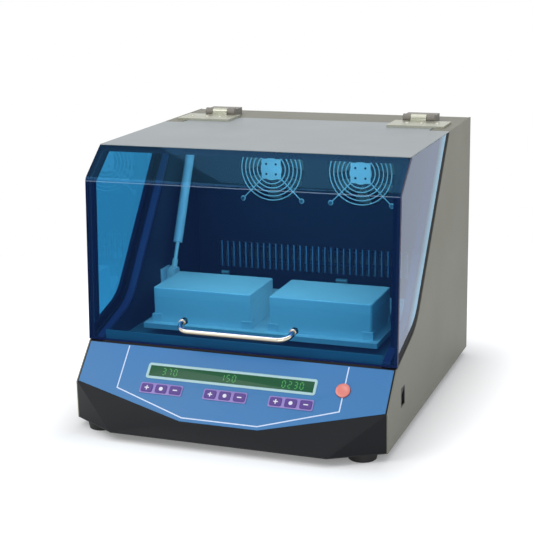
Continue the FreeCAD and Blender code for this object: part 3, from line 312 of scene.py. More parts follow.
def finish(name, colour, rough, metallic=0.0, group=ORANGE_PEEL, fineness=900.0, relief=0.02, tone=0.08,
           rough_change=0.1, coat=0.0, coat_rough=0.1, specular=0.5, glow=0.0):
    """A principled finish: the group's Mask shifts tone and roughness, and its Height makes the relief."""
    made, tree, out = blank_material(name)
    texture = tree.nodes.new("ShaderNodeGroup")
    texture.node_tree = group
    texture.inputs[0].default_value = fineness
    base = linear(*colour)
    lighter = [min(1.0, c * (1 + tone)) for c in base[:3]] + [1.0]
    darker = [c * (1 - tone) for c in base[:3]] + [1.0]
    tint = blend(tree, texture.outputs["Mask"], darker, lighter)
    roughness = add(tree, "ShaderNodeMapRange", Value=texture.outputs["Mask"],
                    _3=max(0.02, rough - rough_change), _4=min(1.0, rough + rough_change))
    relief_node = add(tree, "ShaderNodeBump", Height=texture.outputs["Height"], Strength=relief * 10,
                      Distance=0.0001)
    shader = add(tree, "ShaderNodeBsdfPrincipled", Base_Color=tint, Roughness=roughness.outputs[0],
                 Normal=relief_node.outputs[0], Metallic=metallic)
    shader.inputs["Coat Weight"].default_value = coat
    shader.inputs["Coat Roughness"].default_value = coat_rough
    shader.inputs["Specular IOR Level"].default_value = specular
    if glow:
        shader.inputs["Emission Color"].default_value = base
        shader.inputs["Emission Strength"].default_value = glow
    tree.links.new(shader.outputs[0], out.inputs["Surface"])
    return made


# %% [markdown]
# The casing is powder-coated steel with a satin metal top, and the chamber is painted or bare sheet. A colour
# is first read from the photograph, and then corrected by trial for the light and the tinted acrylic.

# %% Paints of the casing and the chamber
side_paint = finish("warm_grey_powder_paint", (120, 119, 106), 0.5, relief=0.05, fineness=1100)
top_silver = finish("silver_satin_paint", (146, 154, 157), 0.38, metallic=0.35, group=BRUSHED, relief=0.01,
                    tone=0.04)
charcoal = finish("charcoal_moulding", (15, 17, 22), 0.5, relief=0.04, tone=0.1, specular=0.22)
dark_pan = finish("shaded_pan_paint", (40, 41, 42), 0.5, relief=0.02, specular=0.2)
zinc = finish("zinc_plate", (170, 172, 168), 0.4, metallic=0.9, tone=0.12)
# The chamber floor's paint is a lighter copy of the dark chamber paint: painted light where the lamps fall on
# it.
lit_floor_paint = finish("chamber_floor_painted_light", (98, 136, 146), 0.5, relief=0.0, tone=0.06)
# Violet-blue of the seal holders: a painted highlight for the light caught on their edge.
seal_holder_highlight_paint = finish("seal_holder_painted_highlight", (62, 58, 104), 0.4, relief=0.01, tone=0.05)
dark_lining = finish("dark_chamber_paint", (30, 34, 46), 0.5, relief=0.0, tone=0.06)
# Pale lips of the air slots: a painted highlight for the light they catch.
lip_highlight_paint = finish("slot_lips_painted_highlight", (128, 158, 190), 0.4, relief=0.01)

# %% [markdown]
# Bright wires and tubes stand behind tinted acrylic in a dim chamber. A faint glow of their own stands in for
# the many reflections that keep them bright in a real one.

# %% Plastics, rubber and metals
black_plastic = finish("black_plastic", (26, 26, 28), 0.45, relief=0.03)
trim_black = finish("blue_black_trim", (7, 13, 20), 0.6, relief=0.02, specular=0.1)
rubber = finish("black_rubber", (24, 24, 26), 0.7, relief=0.05, fineness=1500)
guard_bright = finish("plated_guard_wire", (226, 232, 236), 0.35, metallic=0.3, relief=0.0, tone=0.02,
                      glow=0.2)
steel = finish("turned_steel", (160, 162, 165), 0.3, metallic=1.0, group=BRUSHED)
aluminium = finish("satin_aluminium", (205, 210, 216), 0.34, metallic=0.8, group=BRUSHED, tone=0.04)
tray_light = finish("anodised_tray", (226, 234, 240), 0.45, metallic=0.15, relief=0.01, tone=0.04)
strut_paint = finish("bright_strut_tube", (216, 228, 240), 0.3, metallic=0.1, relief=0.0, tone=0.02,
                     glow=0.08)
nickel = finish("satin_nickel", (182, 183, 168), 0.35, metallic=0.75, tone=0.06)
hinge_grey = finish("grey_cast_block", (132, 127, 120), 0.5, tone=0.08, relief=0.05)

# %% [markdown]
# The panel has inks, soft key rubber and glossy plastic. A little coat gives a plastic its shine.

# %% Prints, keys and the display
panel_blue = finish("blue_panel_print", (50, 120, 178), 0.42, relief=0.015, tone=0.05, coat=0.08,
                    coat_rough=0.3, specular=0.4)
white_print = finish("white_print", (214, 228, 250), 0.45, tone=0.02)
lilac_print = finish("lilac_pad_print", (150, 130, 200), 0.4, tone=0.04)
key_purple = finish("purple_key_rubber", (84, 56, 138), 0.5, relief=0.03, tone=0.06)
key_white = finish("white_key_print", (235, 235, 245), 0.5, tone=0.02)
button_red = finish("coral_button", (232, 128, 116), 0.25, tone=0.04, coat=0.5, coat_rough=0.08)
lens_green = finish("green_display_lens", (14, 84, 50), 0.25, tone=0.08, coat=0.08, coat_rough=0.1,
                    specular=0.2)
digit_green = finish("lit_green_digits", (64, 160, 74), 0.4, tone=0.05, glow=0.15)
frame_pale = finish("pale_display_frame", (176, 212, 214), 0.35, tone=0.03)
box_white = finish("white_box_plastic", (236, 244, 248), 0.4, relief=0.02, tone=0.03)
board_green = finish("green_circuit_board", (26, 84, 52), 0.4, tone=0.1)
foam_white = finish("white_foam_board", (210, 205, 190), 0.8, relief=0.08)
navy_bond = finish("navy_bonding_strip", (14, 20, 52), 0.5, tone=0.1, specular=0.2)
window_edge = finish("window_edge_navy", (16, 24, 70), 0.45, tone=0.1, specular=0.2)
print(len(bpy.data.materials), "materials so far")

# %% [markdown]
# ### Chrome
# Chrome has no colour of its own: the bright rail at the front shows the lamps, the room and darker things
# between them as bands along its length. Here those bands are a painted reflection: a tint that follows how
# far the surface faces up paints them in from any side.

# %% The chrome
# Painted reflection: brownish where the chrome faces down, cream and white where it faces up.
PAINTED_REFLECTION_BANDS = ((0.0, (120, 112, 100)), (0.45, (238, 232, 214)), (0.7, (176, 166, 146)), (1.0, (255, 255, 255)))
chrome, tree, out = blank_material("bright_chrome")
way = add(tree, "ShaderNodeNewGeometry")
facing = add(tree, "ShaderNodeSeparateXYZ", Vector=way.outputs["Normal"])
upward = add(tree, "ShaderNodeMapRange", Value=facing.outputs["Z"], _1=-0.2, _2=0.85)
tint = add(tree, "ShaderNodeValToRGB", _0=upward.outputs[0])
stops = tint.color_ramp.elements
for place, _ in PAINTED_REFLECTION_BANDS[1:-1]:
    stops.new(place)
for stop, (_, colour) in zip(stops, PAINTED_REFLECTION_BANDS):
    stop.color = linear(*colour)
print("chrome bands at", [round(stop.position, 2) for stop in stops])
shader = add(tree, "ShaderNodeBsdfPrincipled", Base_Color=tint.outputs[0], Roughness=0.14, Metallic=1.0)
tree.links.new(shader.outputs[0], out.inputs["Surface"])

# %% [markdown]
# ### Tinted acrylic
# The hood is blue see-through acrylic. Real refraction would be slow and noisy here, and a thin flat pane
# hardly bends light. A see-through shader with the blue as its filter, mixed with a mirror by Fresnel's
# law, gives the same look: clear face on, and reflecting along grazing views. The mirror's colour is a
# painted reflection, one colour for the room and a lighter one for the ceiling on faces that turn up. The
# lamps reach the chamber through a paler filter, because in life their light also comes in many times over
# by way of the walls. Two effects seen on real sheet are painted into the mirror: a painted highlight as a
# bright line along the bend, and a painted reflection, a lighter blue band, beside the swept lower edge of
# the side panes.

# %% The acrylic
# The glint is a painted highlight: a bright mirror laid along the bend of the front window.
GLINT_FACING, GLINT_REACH, GLINT_SHARE = 0.21, 0.09, 0.3  # how far the bend faces up, its spread, its mirror
OFF_EDGE = (0.0, -0.7937, 0.6084)  # square to the swept edge of the casing, away from it
EDGE_LINE = float(at(0, 155, 138) @ OFF_EDGE)
# Painted reflection band: full up to the first distance off the swept edge, gone by the second.
PAINTED_BAND_FROM, PAINTED_BAND_TO = EDGE_LINE + 0.024, EDGE_LINE + 0.05
# Mirror colours of the painted highlight on the bend and of the painted band by the edge.
PAINTED_GLINT_BLUE, PAINTED_EDGE_BLUE = (0.6, 0.82, 1.0, 1), (0.4, 0.78, 1.0, 1)


def acrylic(name, tint, lamp_tint, room, ceiling, gain, painted_band_share=0.0):
    """Filter mixed with a painted mirror: (Fresnel + painted glint on the bend) x gain x (1 + painted band by
    the edge).
    """
    made, tree, out = blank_material(name)
    rays = add(tree, "ShaderNodeLightPath")
    clear = add(tree, "ShaderNodeBsdfTransparent", Color=tint)
    lamps = add(tree, "ShaderNodeBsdfTransparent", Color=lamp_tint)
    through = add(tree, "ShaderNodeMixShader", Fac=rays.outputs["Is Shadow Ray"], _1=clear.outputs[0],
                  _2=lamps.outputs[0])
    front = add(tree, "ShaderNodeNewGeometry")
    facing = add(tree, "ShaderNodeSeparateXYZ", Vector=front.outputs["Normal"]).outputs["Z"]
    # Painted reflection: faces that turn up mirror the ceiling's colour, the rest the room's.
    skyward = add(tree, "ShaderNodeMapRange", Value=facing, _1=0.2, _2=0.6)
    # Painted highlight: the glint is brightest where the surface faces up as much as the bend does.
    off_bend = maths(tree, "SUBTRACT", facing, GLINT_FACING)
    off_bend = maths(tree, "ABSOLUTE", off_bend.outputs[0])
    bend = add(tree, "ShaderNodeMapRange", Value=off_bend.outputs[0], _1=0.0, _2=GLINT_REACH, _3=1.0, _4=0.0)
    spot = add(tree, "ShaderNodeTexCoord").outputs["Object"]
    # Painted reflection band: a lighter blue mirror near the swept edge of the side panes.
    from_edge = maths(tree, "DOT_PRODUCT", spot, OFF_EDGE, kind="ShaderNodeVectorMath")
    painted_edge_band = add(tree, "ShaderNodeMapRange", Value=from_edge.outputs["Value"], _1=PAINTED_BAND_FROM, _2=PAINTED_BAND_TO,
                    _3=painted_band_share, _4=0.0)
    mirrored = blend(tree, skyward.outputs[0], room, ceiling)
    mirrored = blend(tree, bend.outputs[0], mirrored, PAINTED_GLINT_BLUE)
    mirrored = blend(tree, painted_edge_band.outputs[0], mirrored, PAINTED_EDGE_BLUE)
    mirror = add(tree, "ShaderNodeBsdfGlossy", Color=mirrored, Roughness=0.03)
    share = add(tree, "ShaderNodeFresnel", IOR=1.49)
    share = maths(tree, "MULTIPLY_ADD", bend.outputs[0], GLINT_SHARE, share.outputs[0])
    keep = add(tree, "ShaderNodeMapRange", Value=front.outputs["Backfacing"], _3=gain, _4=0.0)
    share = maths(tree, "MULTIPLY", share.outputs[0], keep.outputs[0])
    share = maths(tree, "MULTIPLY_ADD", share.outputs[0], painted_edge_band.outputs[0], share.outputs[0])
    share.use_clamp = True
    surface = add(tree, "ShaderNodeMixShader", Fac=share.outputs[0], _1=through.outputs[0],
                  _2=mirror.outputs[0])
    tree.links.new(surface.outputs[0], out.inputs["Surface"])
    print(name, len(tree.nodes), "nodes")
    return made


TINT, LAMP_TINT = (0.37, 0.68, 0.81, 1), (0.85, 0.97, 1.0, 1)
front_acrylic = acrylic("blue_acrylic_front", TINT, LAMP_TINT, (0.1, 0.25, 0.9, 1), (0.16, 0.5, 0.95, 1), 1.0)
# The side panes get the painted reflection band beside the swept edge, at a share of 0.6.
side_acrylic = acrylic("blue_acrylic_side", TINT, LAMP_TINT, (0.66, 0.74, 0.9, 1), WHITE, 1.4, 0.6)

# %% [markdown]
# ## Making surfaces
# Every new piece is a grid of points worked out as whole arrays: a profile carried along a path, or a
# profile turned about an axis. One function joins the grid's points into faces, and another turns the
# arrays into a named piece that rides on its body.

# %% Surface helpers


def unit(v):
    """The same direction with length one."""
    v = np.asarray(v, float)
    return v / np.linalg.norm(v, axis=-1, keepdims=True)


def skin(points, wrap_path=False):
    """Faces of a grid of closed profiles: each cell joins four neighbours, and open ends get a cap."""
    rows, columns = points.shape[:2]
    i = np.arange(rows if wrap_path else rows - 1)[:, None]
    j = np.arange(columns)[None, :]
    next_i, next_j = (i + 1) % rows, (j + 1) % columns
    row, next_row = i * columns, next_i * columns
    cells = np.stack([row + j, row + next_j, next_row + next_j, next_row + j], -1)
    faces = cells.reshape(-1, 4).tolist()
    if not wrap_path:
        faces += [list(range(columns))[::-1], list(range((rows - 1) * columns, rows * columns))]
    return points.reshape(-1, 3), faces


def carry(path, profile, normal, closed=False):
    """Profile (a, b) in mm carried along a flat path: path + a side + b normal, side = normal x tangent."""
    path, profile, normal = np.asarray(path, float), np.asarray(profile, float) / 1000, unit(normal)
    if closed:
        tangent = unit(np.roll(path, -1, 0) - np.roll(path, 1, 0))
    else:
        tangent = unit(np.gradient(path, axis=0))
    side = np.cross(normal, tangent)
    points = path[:, None] + profile[None, :, :1] * side[:, None] + profile[None, :, 1:] * normal
    return skin(points, wrap_path=closed)


def turned(profile, centre, axis, sides=48):
    """Profile (radius, height) in mm turned about an axis: centre + r (cos t, sin t) + h along the axis."""
    profile, axis = np.asarray(profile, float) / 1000, unit(axis)
    across = unit(np.cross(axis, (0.3, 0.5, 0.8)))
    along = np.cross(axis, across)
    t = np.linspace(0, 2 * math.pi, sides, endpoint=False)
    ring = np.cos(t)[:, None] * across + np.sin(t)[:, None] * along
    points = np.asarray(centre) + profile[:, :1, None] * ring[None] + profile[:, 1:, None] * axis
    return skin(points)


def circle(radius, sides=16):
    """Points of a round profile."""
    t = np.linspace(0, 2 * math.pi, sides, endpoint=False)
    return radius * np.stack([np.cos(t), np.sin(t)], -1)


def rounded(width, depth, radius, steps=5):
    """Rounded rectangle: four quarter arcs of the radius about the inner corners."""
    t = np.linspace(0, math.pi / 2, steps)
    quarter = np.stack([np.cos(t), np.sin(t)], -1) * radius
    arcs = []
    for sx, sy, c, s in ((1, 1, 1, 0), (-1, 1, 0, 1), (-1, -1, -1, 0), (1, -1, 0, -1)):
        arc = quarter @ np.array([[c, s], [-s, c]])
        arcs.append(arc + (sx * (width / 2 - radius), sy * (depth / 2 - radius)))
    return np.concatenate(arcs)


def pillow(outline, place, low, high, edge, steps=4, sink=0.0):
    """A pad with a rounded upper edge: the outline moves in by edge (1 - cos t) as it rises by edge sin t."""
    outline = np.asarray(outline, float)
    tangent = unit(np.roll(outline, -1, 0) - np.roll(outline, 1, 0))
    inward = np.stack([-tangent[:, 1], tangent[:, 0]], -1)
    t = np.linspace(0, math.pi / 2, steps)
    rings = [(0.0, low)] + [(edge * (1 - math.cos(a)), high - edge + edge * math.sin(a)) for a in t]
    if sink:
        rings += [(edge * 1.8, high - sink * 0.5), (edge * 3.0, high - sink)]
    levels = [(outline + inward * move, h) for move, h in rings]
    return skin(np.stack([place(level[:, 0], level[:, 1], h) for level, h in levels]))


def panel_pad(outline, x, s, low, high, edge, **kind):
    """A pad on the sloping panel, whose outline has its middle at x, s."""
    return pillow(outline, lambda a, b, h: on_panel(x + a, s + b, h), low, high, edge, **kind)


def join(parts):
    """Several (points, faces) pairs as one."""
    points, faces, start = [], [], 0
    for p, f in parts:
        points.append(np.asarray(p))
        faces += [[start + k for k in face] for face in f]
        start += len(p)
    return np.concatenate(points), faces


# %% [markdown]
# A mesh made from arrays may have doubled points where an outline closes, and faces that look inwards. Both
# are put right before the piece gets its finish, its smooth shading and the body that it moves with.

# %% From arrays to a named piece


def piece(name, shape, body, material, replaces=(), smooth=35):
    """Makes a named piece from (points, faces), turns its faces outwards and lets it ride on a body."""
    points, faces = shape
    mesh = bpy.data.meshes.new(name)
    mesh.from_pydata(points.tolist(), [], faces)
    loose = bmesh.new()
    loose.from_mesh(mesh)
    bmesh.ops.remove_doubles(loose, verts=loose.verts, dist=1e-6)
    bmesh.ops.recalc_face_normals(loose, faces=loose.faces)
    loose.to_mesh(mesh)
    loose.free()
    mesh.materials.append(material)
    mesh.shade_smooth()
    mesh.set_sharp_from_angle(angle=math.radians(smooth))
    thing = new_object(name, mesh)
    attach(thing, body)
    if replaces:
        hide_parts(*replaces)
    print(name, len(mesh.polygons), "faces")


# %% [markdown]
# Many solids need no new shape. A hidden one only gets its material. One in plain sight is copied, its loose
# triangles are joined, and a bevel rounds the sharp edges, because no real edge is perfectly sharp.

# %% Two ways to keep a solid
bodies = frame["record"]["behaviour"]["bodies"]
body_of = {node: body for body, nodes in bodies.items() for node in nodes}


def dress(node, material):
    """A CAD node whose shape is right keeps its mesh and gets a better material."""
    for place in frame["nodes"][node].material_slots:
        place.link = "OBJECT"
        place.material = material
    print(node, "in", material.name)


def eased(node, material, width=0.5, angle=30):
    """A copy of a CAD node, in its place, with edges sharper than the angle rounded by this width."""
    mesh = frame["nodes"][node].data.copy()
    loose = bmesh.new()
    loose.from_mesh(mesh)
    bmesh.ops.remove_doubles(loose, verts=loose.verts, dist=2e-6)
    bmesh.ops.dissolve_limit(loose, angle_limit=math.radians(0.5), verts=loose.verts, edges=loose.edges)
    loose.to_mesh(mesh)
    loose.free()
    mesh.materials.clear()
    mesh.materials.append(material)
    mesh.shade_smooth()
    mesh.set_sharp_from_angle(angle=math.radians(angle))
    thing = new_object(node + "_eased", mesh)
    bevel = thing.modifiers.new("rounded_edges", "BEVEL")
    bevel.width = width / 1000
    bevel.segments = 2
    bevel.limit_method = "ANGLE"
    bevel.angle_limit = math.radians(angle)
    bevel.harden_normals = True
    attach(thing, body_of[node])
    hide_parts(node)
    print(thing.name, "rounded by", width, "mm")


# %% [markdown]
# ## Hood
# The front window is one sheet of acrylic, 6 mm thick, bent by heat along a line near its top. Its section
# is drawn once, as an outer and an inner line that share the bend's centre, and carried across the width.
# The cut edges of such a sheet look much darker than its faces, so they are a piece of their own.

# %% The hood's line in side view
BEND, BROW, FOOT_LINE = np.array([63.0, 352.0]), np.array([117.0, 395.0]), np.array([48.0, 107.0])
THICK, BEND_RADIUS, WINDOW_LOW = 6.0, 12.0, 109.2


def hood_line(inset, low=WINDOW_LOW, high=ROOF, steps=9):
    """Lower line, arc and upper line of the hood's front, moved in by inset: the arc is about its centre."""
    lower, upper = unit(BEND - FOOT_LINE), unit(BROW - BEND)
    in_low, in_up = np.array([lower[1], -lower[0]]), np.array([upper[1], -upper[0]])
    turn = math.acos(float(in_low @ in_up)) / 2
    middle = unit(in_low + in_up)
    radius = max(BEND_RADIUS - inset, 0.01)
    corner = BEND + middle * inset / math.cos(turn)
    centre = corner + middle * radius / math.cos(turn)
    angles = np.linspace(math.atan2(in_low[1], in_low[0]), math.atan2(in_up[1], in_up[0]), steps)
    arc = centre - radius * np.stack([np.cos(angles), np.sin(angles)], -1)
    foot = corner - lower * (corner[1] - low) / lower[1]
    top = corner + upper * (high - corner[1]) / upper[1]
    return np.vstack([foot, arc, top])


def across_x(line, x0, x1):
    """A closed outline in the y and z plane carried from x0 to x1."""
    return skin(np.stack([at(x, line[:, 0], line[:, 1]) for x in (x0, x1)]))


# %% [markdown]
# The pane itself stops a little short of its cut edges, and a thin dark rim fills the rest.

# %% Front window and its dark cut edges
FILM = 0.6  # depth of the dark colour at a cut edge
sheet_line = np.vstack([hood_line(0, WINDOW_LOW + FILM), hood_line(THICK, WINDOW_LOW + FILM)[::-1]])
piece("front_window_sheet", across_x(sheet_line, -HALF + FILM, HALF - FILM), "hood", front_acrylic,
      ["front_window"], smooth=20)
edge_line = np.vstack([hood_line(0), hood_line(THICK)[::-1]])
rims = [across_x(edge_line, x, x + FILM) for x in (-HALF, HALF - FILM)]
low_corners = ((0, WINDOW_LOW), (0, WINDOW_LOW + FILM), (THICK, WINDOW_LOW + FILM), (THICK, WINDOW_LOW))
low_edge = np.array([hood_line(inset, low)[0] for inset, low in low_corners])
rims.append(across_x(low_edge, -HALF + FILM, HALF - FILM))
piece("front_window_edges", join(rims), "hood", window_edge, smooth=20)

# %% [markdown]
# The hood's sheets are glued together, with a square strip in each corner. Through tinted acrylic a glued
# face shows as a dark band, and the plainest way to get one is a thin dark layer just inside the sheet. A
# wider band runs along the brow, where the window meets the metal top.

# %% Corner strips and dark bond lines
STRIP, STRIP_LOW, BOND_DEEP, BOND_CLEAR, BROW_BAND = 6.0, 136.0, 0.3, 0.1, 14.0
strip_line = np.vstack([hood_line(THICK + BOND_CLEAR, STRIP_LOW), hood_line(THICK + STRIP, STRIP_LOW)[::-1]])
strips = [across_x(strip_line, x, x + STRIP) for x in (HALF - THICK - STRIP, -HALF + THICK)]
piece("corner_strips_bonded", join(strips), "hood", navy_bond, ["corner_strips"], smooth=20)
bond_front, bond_back = (hood_line(THICK - depth, WINDOW_LOW + FILM) for depth in (BOND_DEEP, BOND_CLEAR))
bond_line = np.vstack([bond_front, bond_back[::-1]])
bonds = [across_x(bond_line, x, x + THICK - FILM) for x in (HALF - THICK, -HALF + FILM)]
down_brow = unit(BROW - BEND) * BROW_BAND
brow = np.vstack([bond_front[-1], bond_back[-1], bond_back[-1] - down_brow, bond_front[-1] - down_brow])
bonds.append(across_x(brow, -HALF + THICK, HALF - THICK))
piece("window_bond_lines", join(bonds), "hood", navy_bond, smooth=20)

# %% [markdown]
# The swept edge of the casing is two straight lines with a round bend. Seals, trims and side windows all
# follow it, so one function gives that edge moved up by any gap.

# %% Swept edge
EDGE_CORNER, EDGE_TOP, EDGE_FOOT = np.array([155.0, 138.0]), np.array([352.0, 395.0]), np.array([48.0, 107.0])
EDGE_RADIUS, EDGE_START = 90.0, 60.0  # radius of its bend, and how much of the lower line is kept


def swept_edge(gap, steps=17):
    """Casing edge moved up by gap: a line from the fascia, an arc round its bend and a line to the top."""
    first, second = unit(EDGE_CORNER - EDGE_FOOT), unit(EDGE_TOP - EDGE_CORNER)
    up1, up2 = np.array([-first[1], first[0]]), np.array([-second[1], second[0]])
    half = math.acos(float(up1 @ up2)) / 2
    middle = unit(up1 + up2)
    centre = EDGE_CORNER + middle * EDGE_RADIUS / math.cos(half)
    radius = EDGE_RADIUS - gap
    angles = np.linspace(math.atan2(up1[1], up1[0]), math.atan2(up2[1], up2[0]), steps)
    arc = centre - radius * np.stack([np.cos(angles), np.sin(angles)], -1)
    start = arc[0] - first * EDGE_START
    top = arc[-1] + second * (ROOF - arc[-1][1]) / second[1]
    return np.vstack([start, arc, top])


def from_front(gap):
    """Swept edge moved up by gap, from where it meets the inner line of the front window."""
    rear, front = swept_edge(gap), hood_line(THICK)
    rise, run = front[1] - front[0], rear[1] - rear[0]
    share = np.linalg.solve(np.stack([rise, -run], -1), rear[0] - front[0])[0]
    return np.vstack([front[0] + rise * share, rear[1:]])


# %% [markdown]
# A side window's outline is the hood's line, the roof and the swept edge moved up by the width of the seal
# and of the dark trim below the window.

# %% Side windows and their trims
SEAL_GAP, TRIM = 6.0, 12.0
above_trim = from_front(SEAL_GAP + TRIM)
side_outline = np.vstack([above_trim[:1], hood_line(THICK)[1:], above_trim[:0:-1]])
trim_outline = np.vstack([from_front(SEAL_GAP), above_trim[::-1]])
sides = ((HALF - THICK, HALF), (-HALF, -HALF + THICK))
panes, trims = ([across_x(shape, x0, x1) for x0, x1 in sides] for shape in (side_outline, trim_outline))
piece("side_window_panes", join(panes), "hood", side_acrylic, ["side_windows"], smooth=20)
piece("side_window_trims", join(trims), "hood", trim_black, smooth=20)

# %% [markdown]
# A seal of this kind is a flat rubber foot with a hollow bulb on it that the hood presses down. A painted
# strip holds the foot's inner edge; its violet-blue, lighter than the chamber paint, is a painted highlight
# for the light that its edge catches. The bulb is a round profile carried along the swept edge.

# %% Seals along the swept edges and under the window
SEAL_IN, SEAL_OUT, SEAL_THICK = 218.0, 239.0, 2.0  # the rubber foot on the right side: from, to, thickness
HOLDER_IN, HOLDER_OUT, HOLDER_TOP = 217.0, 228.0, 6.2  # the strip that holds its inner edge
BULB_X, BULB_HIGH, BULB_RADIUS, BULB_START = 233.5, 3.7, 2.0, 3.0
bulb_line = from_front(BULB_HIGH)
bulb_line[0] += unit(bulb_line[1] - bulb_line[0]) * BULB_START
holders, seals = [], []
for way in (-1, 1):
    strip = np.vstack([from_front(SEAL_THICK), from_front(HOLDER_TOP)[::-1]])
    holders.append(across_x(strip, *sorted((way * HOLDER_IN, way * HOLDER_OUT))))
    rubber_foot = np.vstack([from_front(0.1), from_front(SEAL_THICK)[::-1]])
    seals.append(across_x(rubber_foot, *sorted((way * SEAL_IN, way * SEAL_OUT))))
    path = at(way * BULB_X, bulb_line[:, 0], bulb_line[:, 1])
    seals.append(carry(path, circle(BULB_RADIUS, 12), (1, 0, 0)))
ledge = np.array([[49.0, 107.0], [54.0, 107.0], [54.0, 108.4], [53.4, 108.9], [49.6, 108.9], [49.0, 108.4]])
seals.append(across_x(ledge, -HOLDER_IN, HOLDER_IN))
piece("seal_holding_strips", join(holders), "casing", seal_holder_highlight_paint, smooth=20)
piece("bulb_seals", join(seals), "casing", rubber, ["hood_gasket"], smooth=40)

# %% [markdown]
# The metal top is a folded sheet whose solid is right, so it only gets rounder edges and its brushed paint.
# The handle is a bent rod held by a collar in front and a nut behind. The rod is a round profile carried
# along a bow, and the collars, nuts and screws are turned.

# %% Hood top and handle
eased("hood_top", top_silver, 0.6)
HANDLE_Z, HANDLE_HALF, HANDLE_CORNER, ROD = 147.0, 86.0, 16.8, 4.2
HANDLE_OUT, HANDLE_UP = 20.0, 7.0  # how far the bar stands off the window, and how far the legs lean
LEAN = math.atan2(HANDLE_UP, HANDLE_OUT)
forward = (BEND - FOOT_LINE)[0] / (BEND - FOOT_LINE)[1]
HANDLE_Y = FOOT_LINE[0] + (HANDLE_Z - FOOT_LINE[1]) * forward


def handle_path():
    """Bow of the handle in its leaning plane: two legs, two quarter arcs and the bar between them."""
    reach, corner, half = math.hypot(HANDLE_OUT, HANDLE_UP), HANDLE_CORNER, HANDLE_HALF
    t = np.linspace(0, math.pi / 2, 9)
    left = np.stack([-half + corner - corner * np.cos(t), corner - reach - corner * np.sin(t)], -1)
    path = np.vstack([[-half, -0.6], left, (left * (-1, 1))[::-1], [half, -0.6]])
    return at(path[:, 0], HANDLE_Y + path[:, 1] * math.cos(LEAN), HANDLE_Z + path[:, 1] * math.sin(LEAN))


COLLAR = [(0.1, 0), (5.5, 0), (5.5, 1.0), (5.0, 1.6), (0.1, 1.6)]
NUT = [(0.1, 0), (5.5, 0), (5.5, 2.2), (4.4, 3.0), (0.1, 3.0)]
SCREW = [(3, -1), (3, 8)]
fittings = [carry(handle_path(), circle(ROD, 20), (0, -math.sin(LEAN), math.cos(LEAN)))]
for x in (-HANDLE_HALF, HANDLE_HALF):
    for profile, depth, way in ((COLLAR, -0.5, -1), (NUT, 6.5, 1), (SCREW, 0.0, 1)):
        fittings.append(turned(profile, at(x, HANDLE_Y + depth, HANDLE_Z), (0, way, 0)))
piece("handle_bow", join(fittings), "hood", chrome, ["handle"])

# %% [markdown]
# ## Casing and panel
# The steel sheets and the bowed moulding are right as solids, but a real sheet has no knife edges. A copy of
# the solid with its triangles joined and its edges rounded catches the light along every fold.

# %% Casing
for node, material, width in (("side_panel_left", side_paint, 0.6), ("side_panel_right", side_paint, 0.6),
                              ("rear_cover", side_paint, 0.5), ("front_fascia", charcoal, 0.9),
                              ("base_pan", dark_pan, 0.4), ("mains_inlet", black_plastic, 0.5),
                              ("rocker_housing", black_plastic, 0.5), ("power_rocker", black_plastic, 0.5)):
    eased(node, material, width)

# %% [markdown]
# A rubber foot is a turned shape: a ring that stands on the bench, hollow in the middle where its screw sits.
# Four copies of one profile make one piece.

# %% Feet
FOOT_PROFILE = [(4, 6), (5, 5.4), (5, 0.6), (5.6, 0), (19.2, 0), (20, 0.6), (21.6, 9.5), (21.6, FOOT)]
FOOT_X, FOOT_Y = (-202.0, 202.0), (6.0, 470.0)
feet = [turned(FOOT_PROFILE, at(x, y, -FOOT), (0, 0, 1)) for x in FOOT_X for y in FOOT_Y]
piece("rubber_feet", join(feet), "casing", rubber, ["feet"])

# %% [markdown]
# The panel is a printed sheet with a white line round its working area. A print has almost no thickness, but
# a raised ribbon a tenth of a millimetre high stays sharp at any distance and needs no picture file.

# %% Panel face and its white line
eased("panel_overlay", panel_blue, 0.3)
LINE_WIDTH, LINE_HEIGHT = 1.8, 0.9
OUTLINE = [(-171, 66), (-171, -3), (-58, -38.8), (58, -38.8), (171, -3), (171, 66)]


def ribbon(points, width, height):
    """A thin printed line on the panel: each point's two sides, moved out by half the width at the mitre."""
    points = np.asarray(points, float)
    onward = unit(np.vstack([points[1:] - points[:-1], points[-1:] - points[-2:-1]]))
    behind = unit(np.vstack([points[1:2] - points[:1], points[1:] - points[:-1]]))
    along = unit(onward + behind)
    stretch = 1 / np.sqrt((1 + np.sum(onward * behind, -1)) / 2)
    outward = np.stack([-along[:, 1], along[:, 0]], -1) * (stretch * width / 2)[:, None]
    left, right = points + outward, points - outward
    corners = ((left, 0.1), (left, 0.0), (right, 0.0), (right, 0.1))
    return skin(np.stack([on_panel(side[:, 0], side[:, 1], height - drop) for side, drop in corners], 1))


white_line = ribbon(OUTLINE, LINE_WIDTH, LINE_HEIGHT)
piece("panel_outline", white_line, "casing", white_print, smooth=20)

# %% [markdown]
# Each group of three keys sits in a printed pad. A key is a soft cap with a rounded rim and a slightly hollow
# top, and its sign is moulded in white: a plus, a round dot or a bar. All are the same pad function with
# other outlines. The caps ride on the bodies of the keys, so each one still presses.

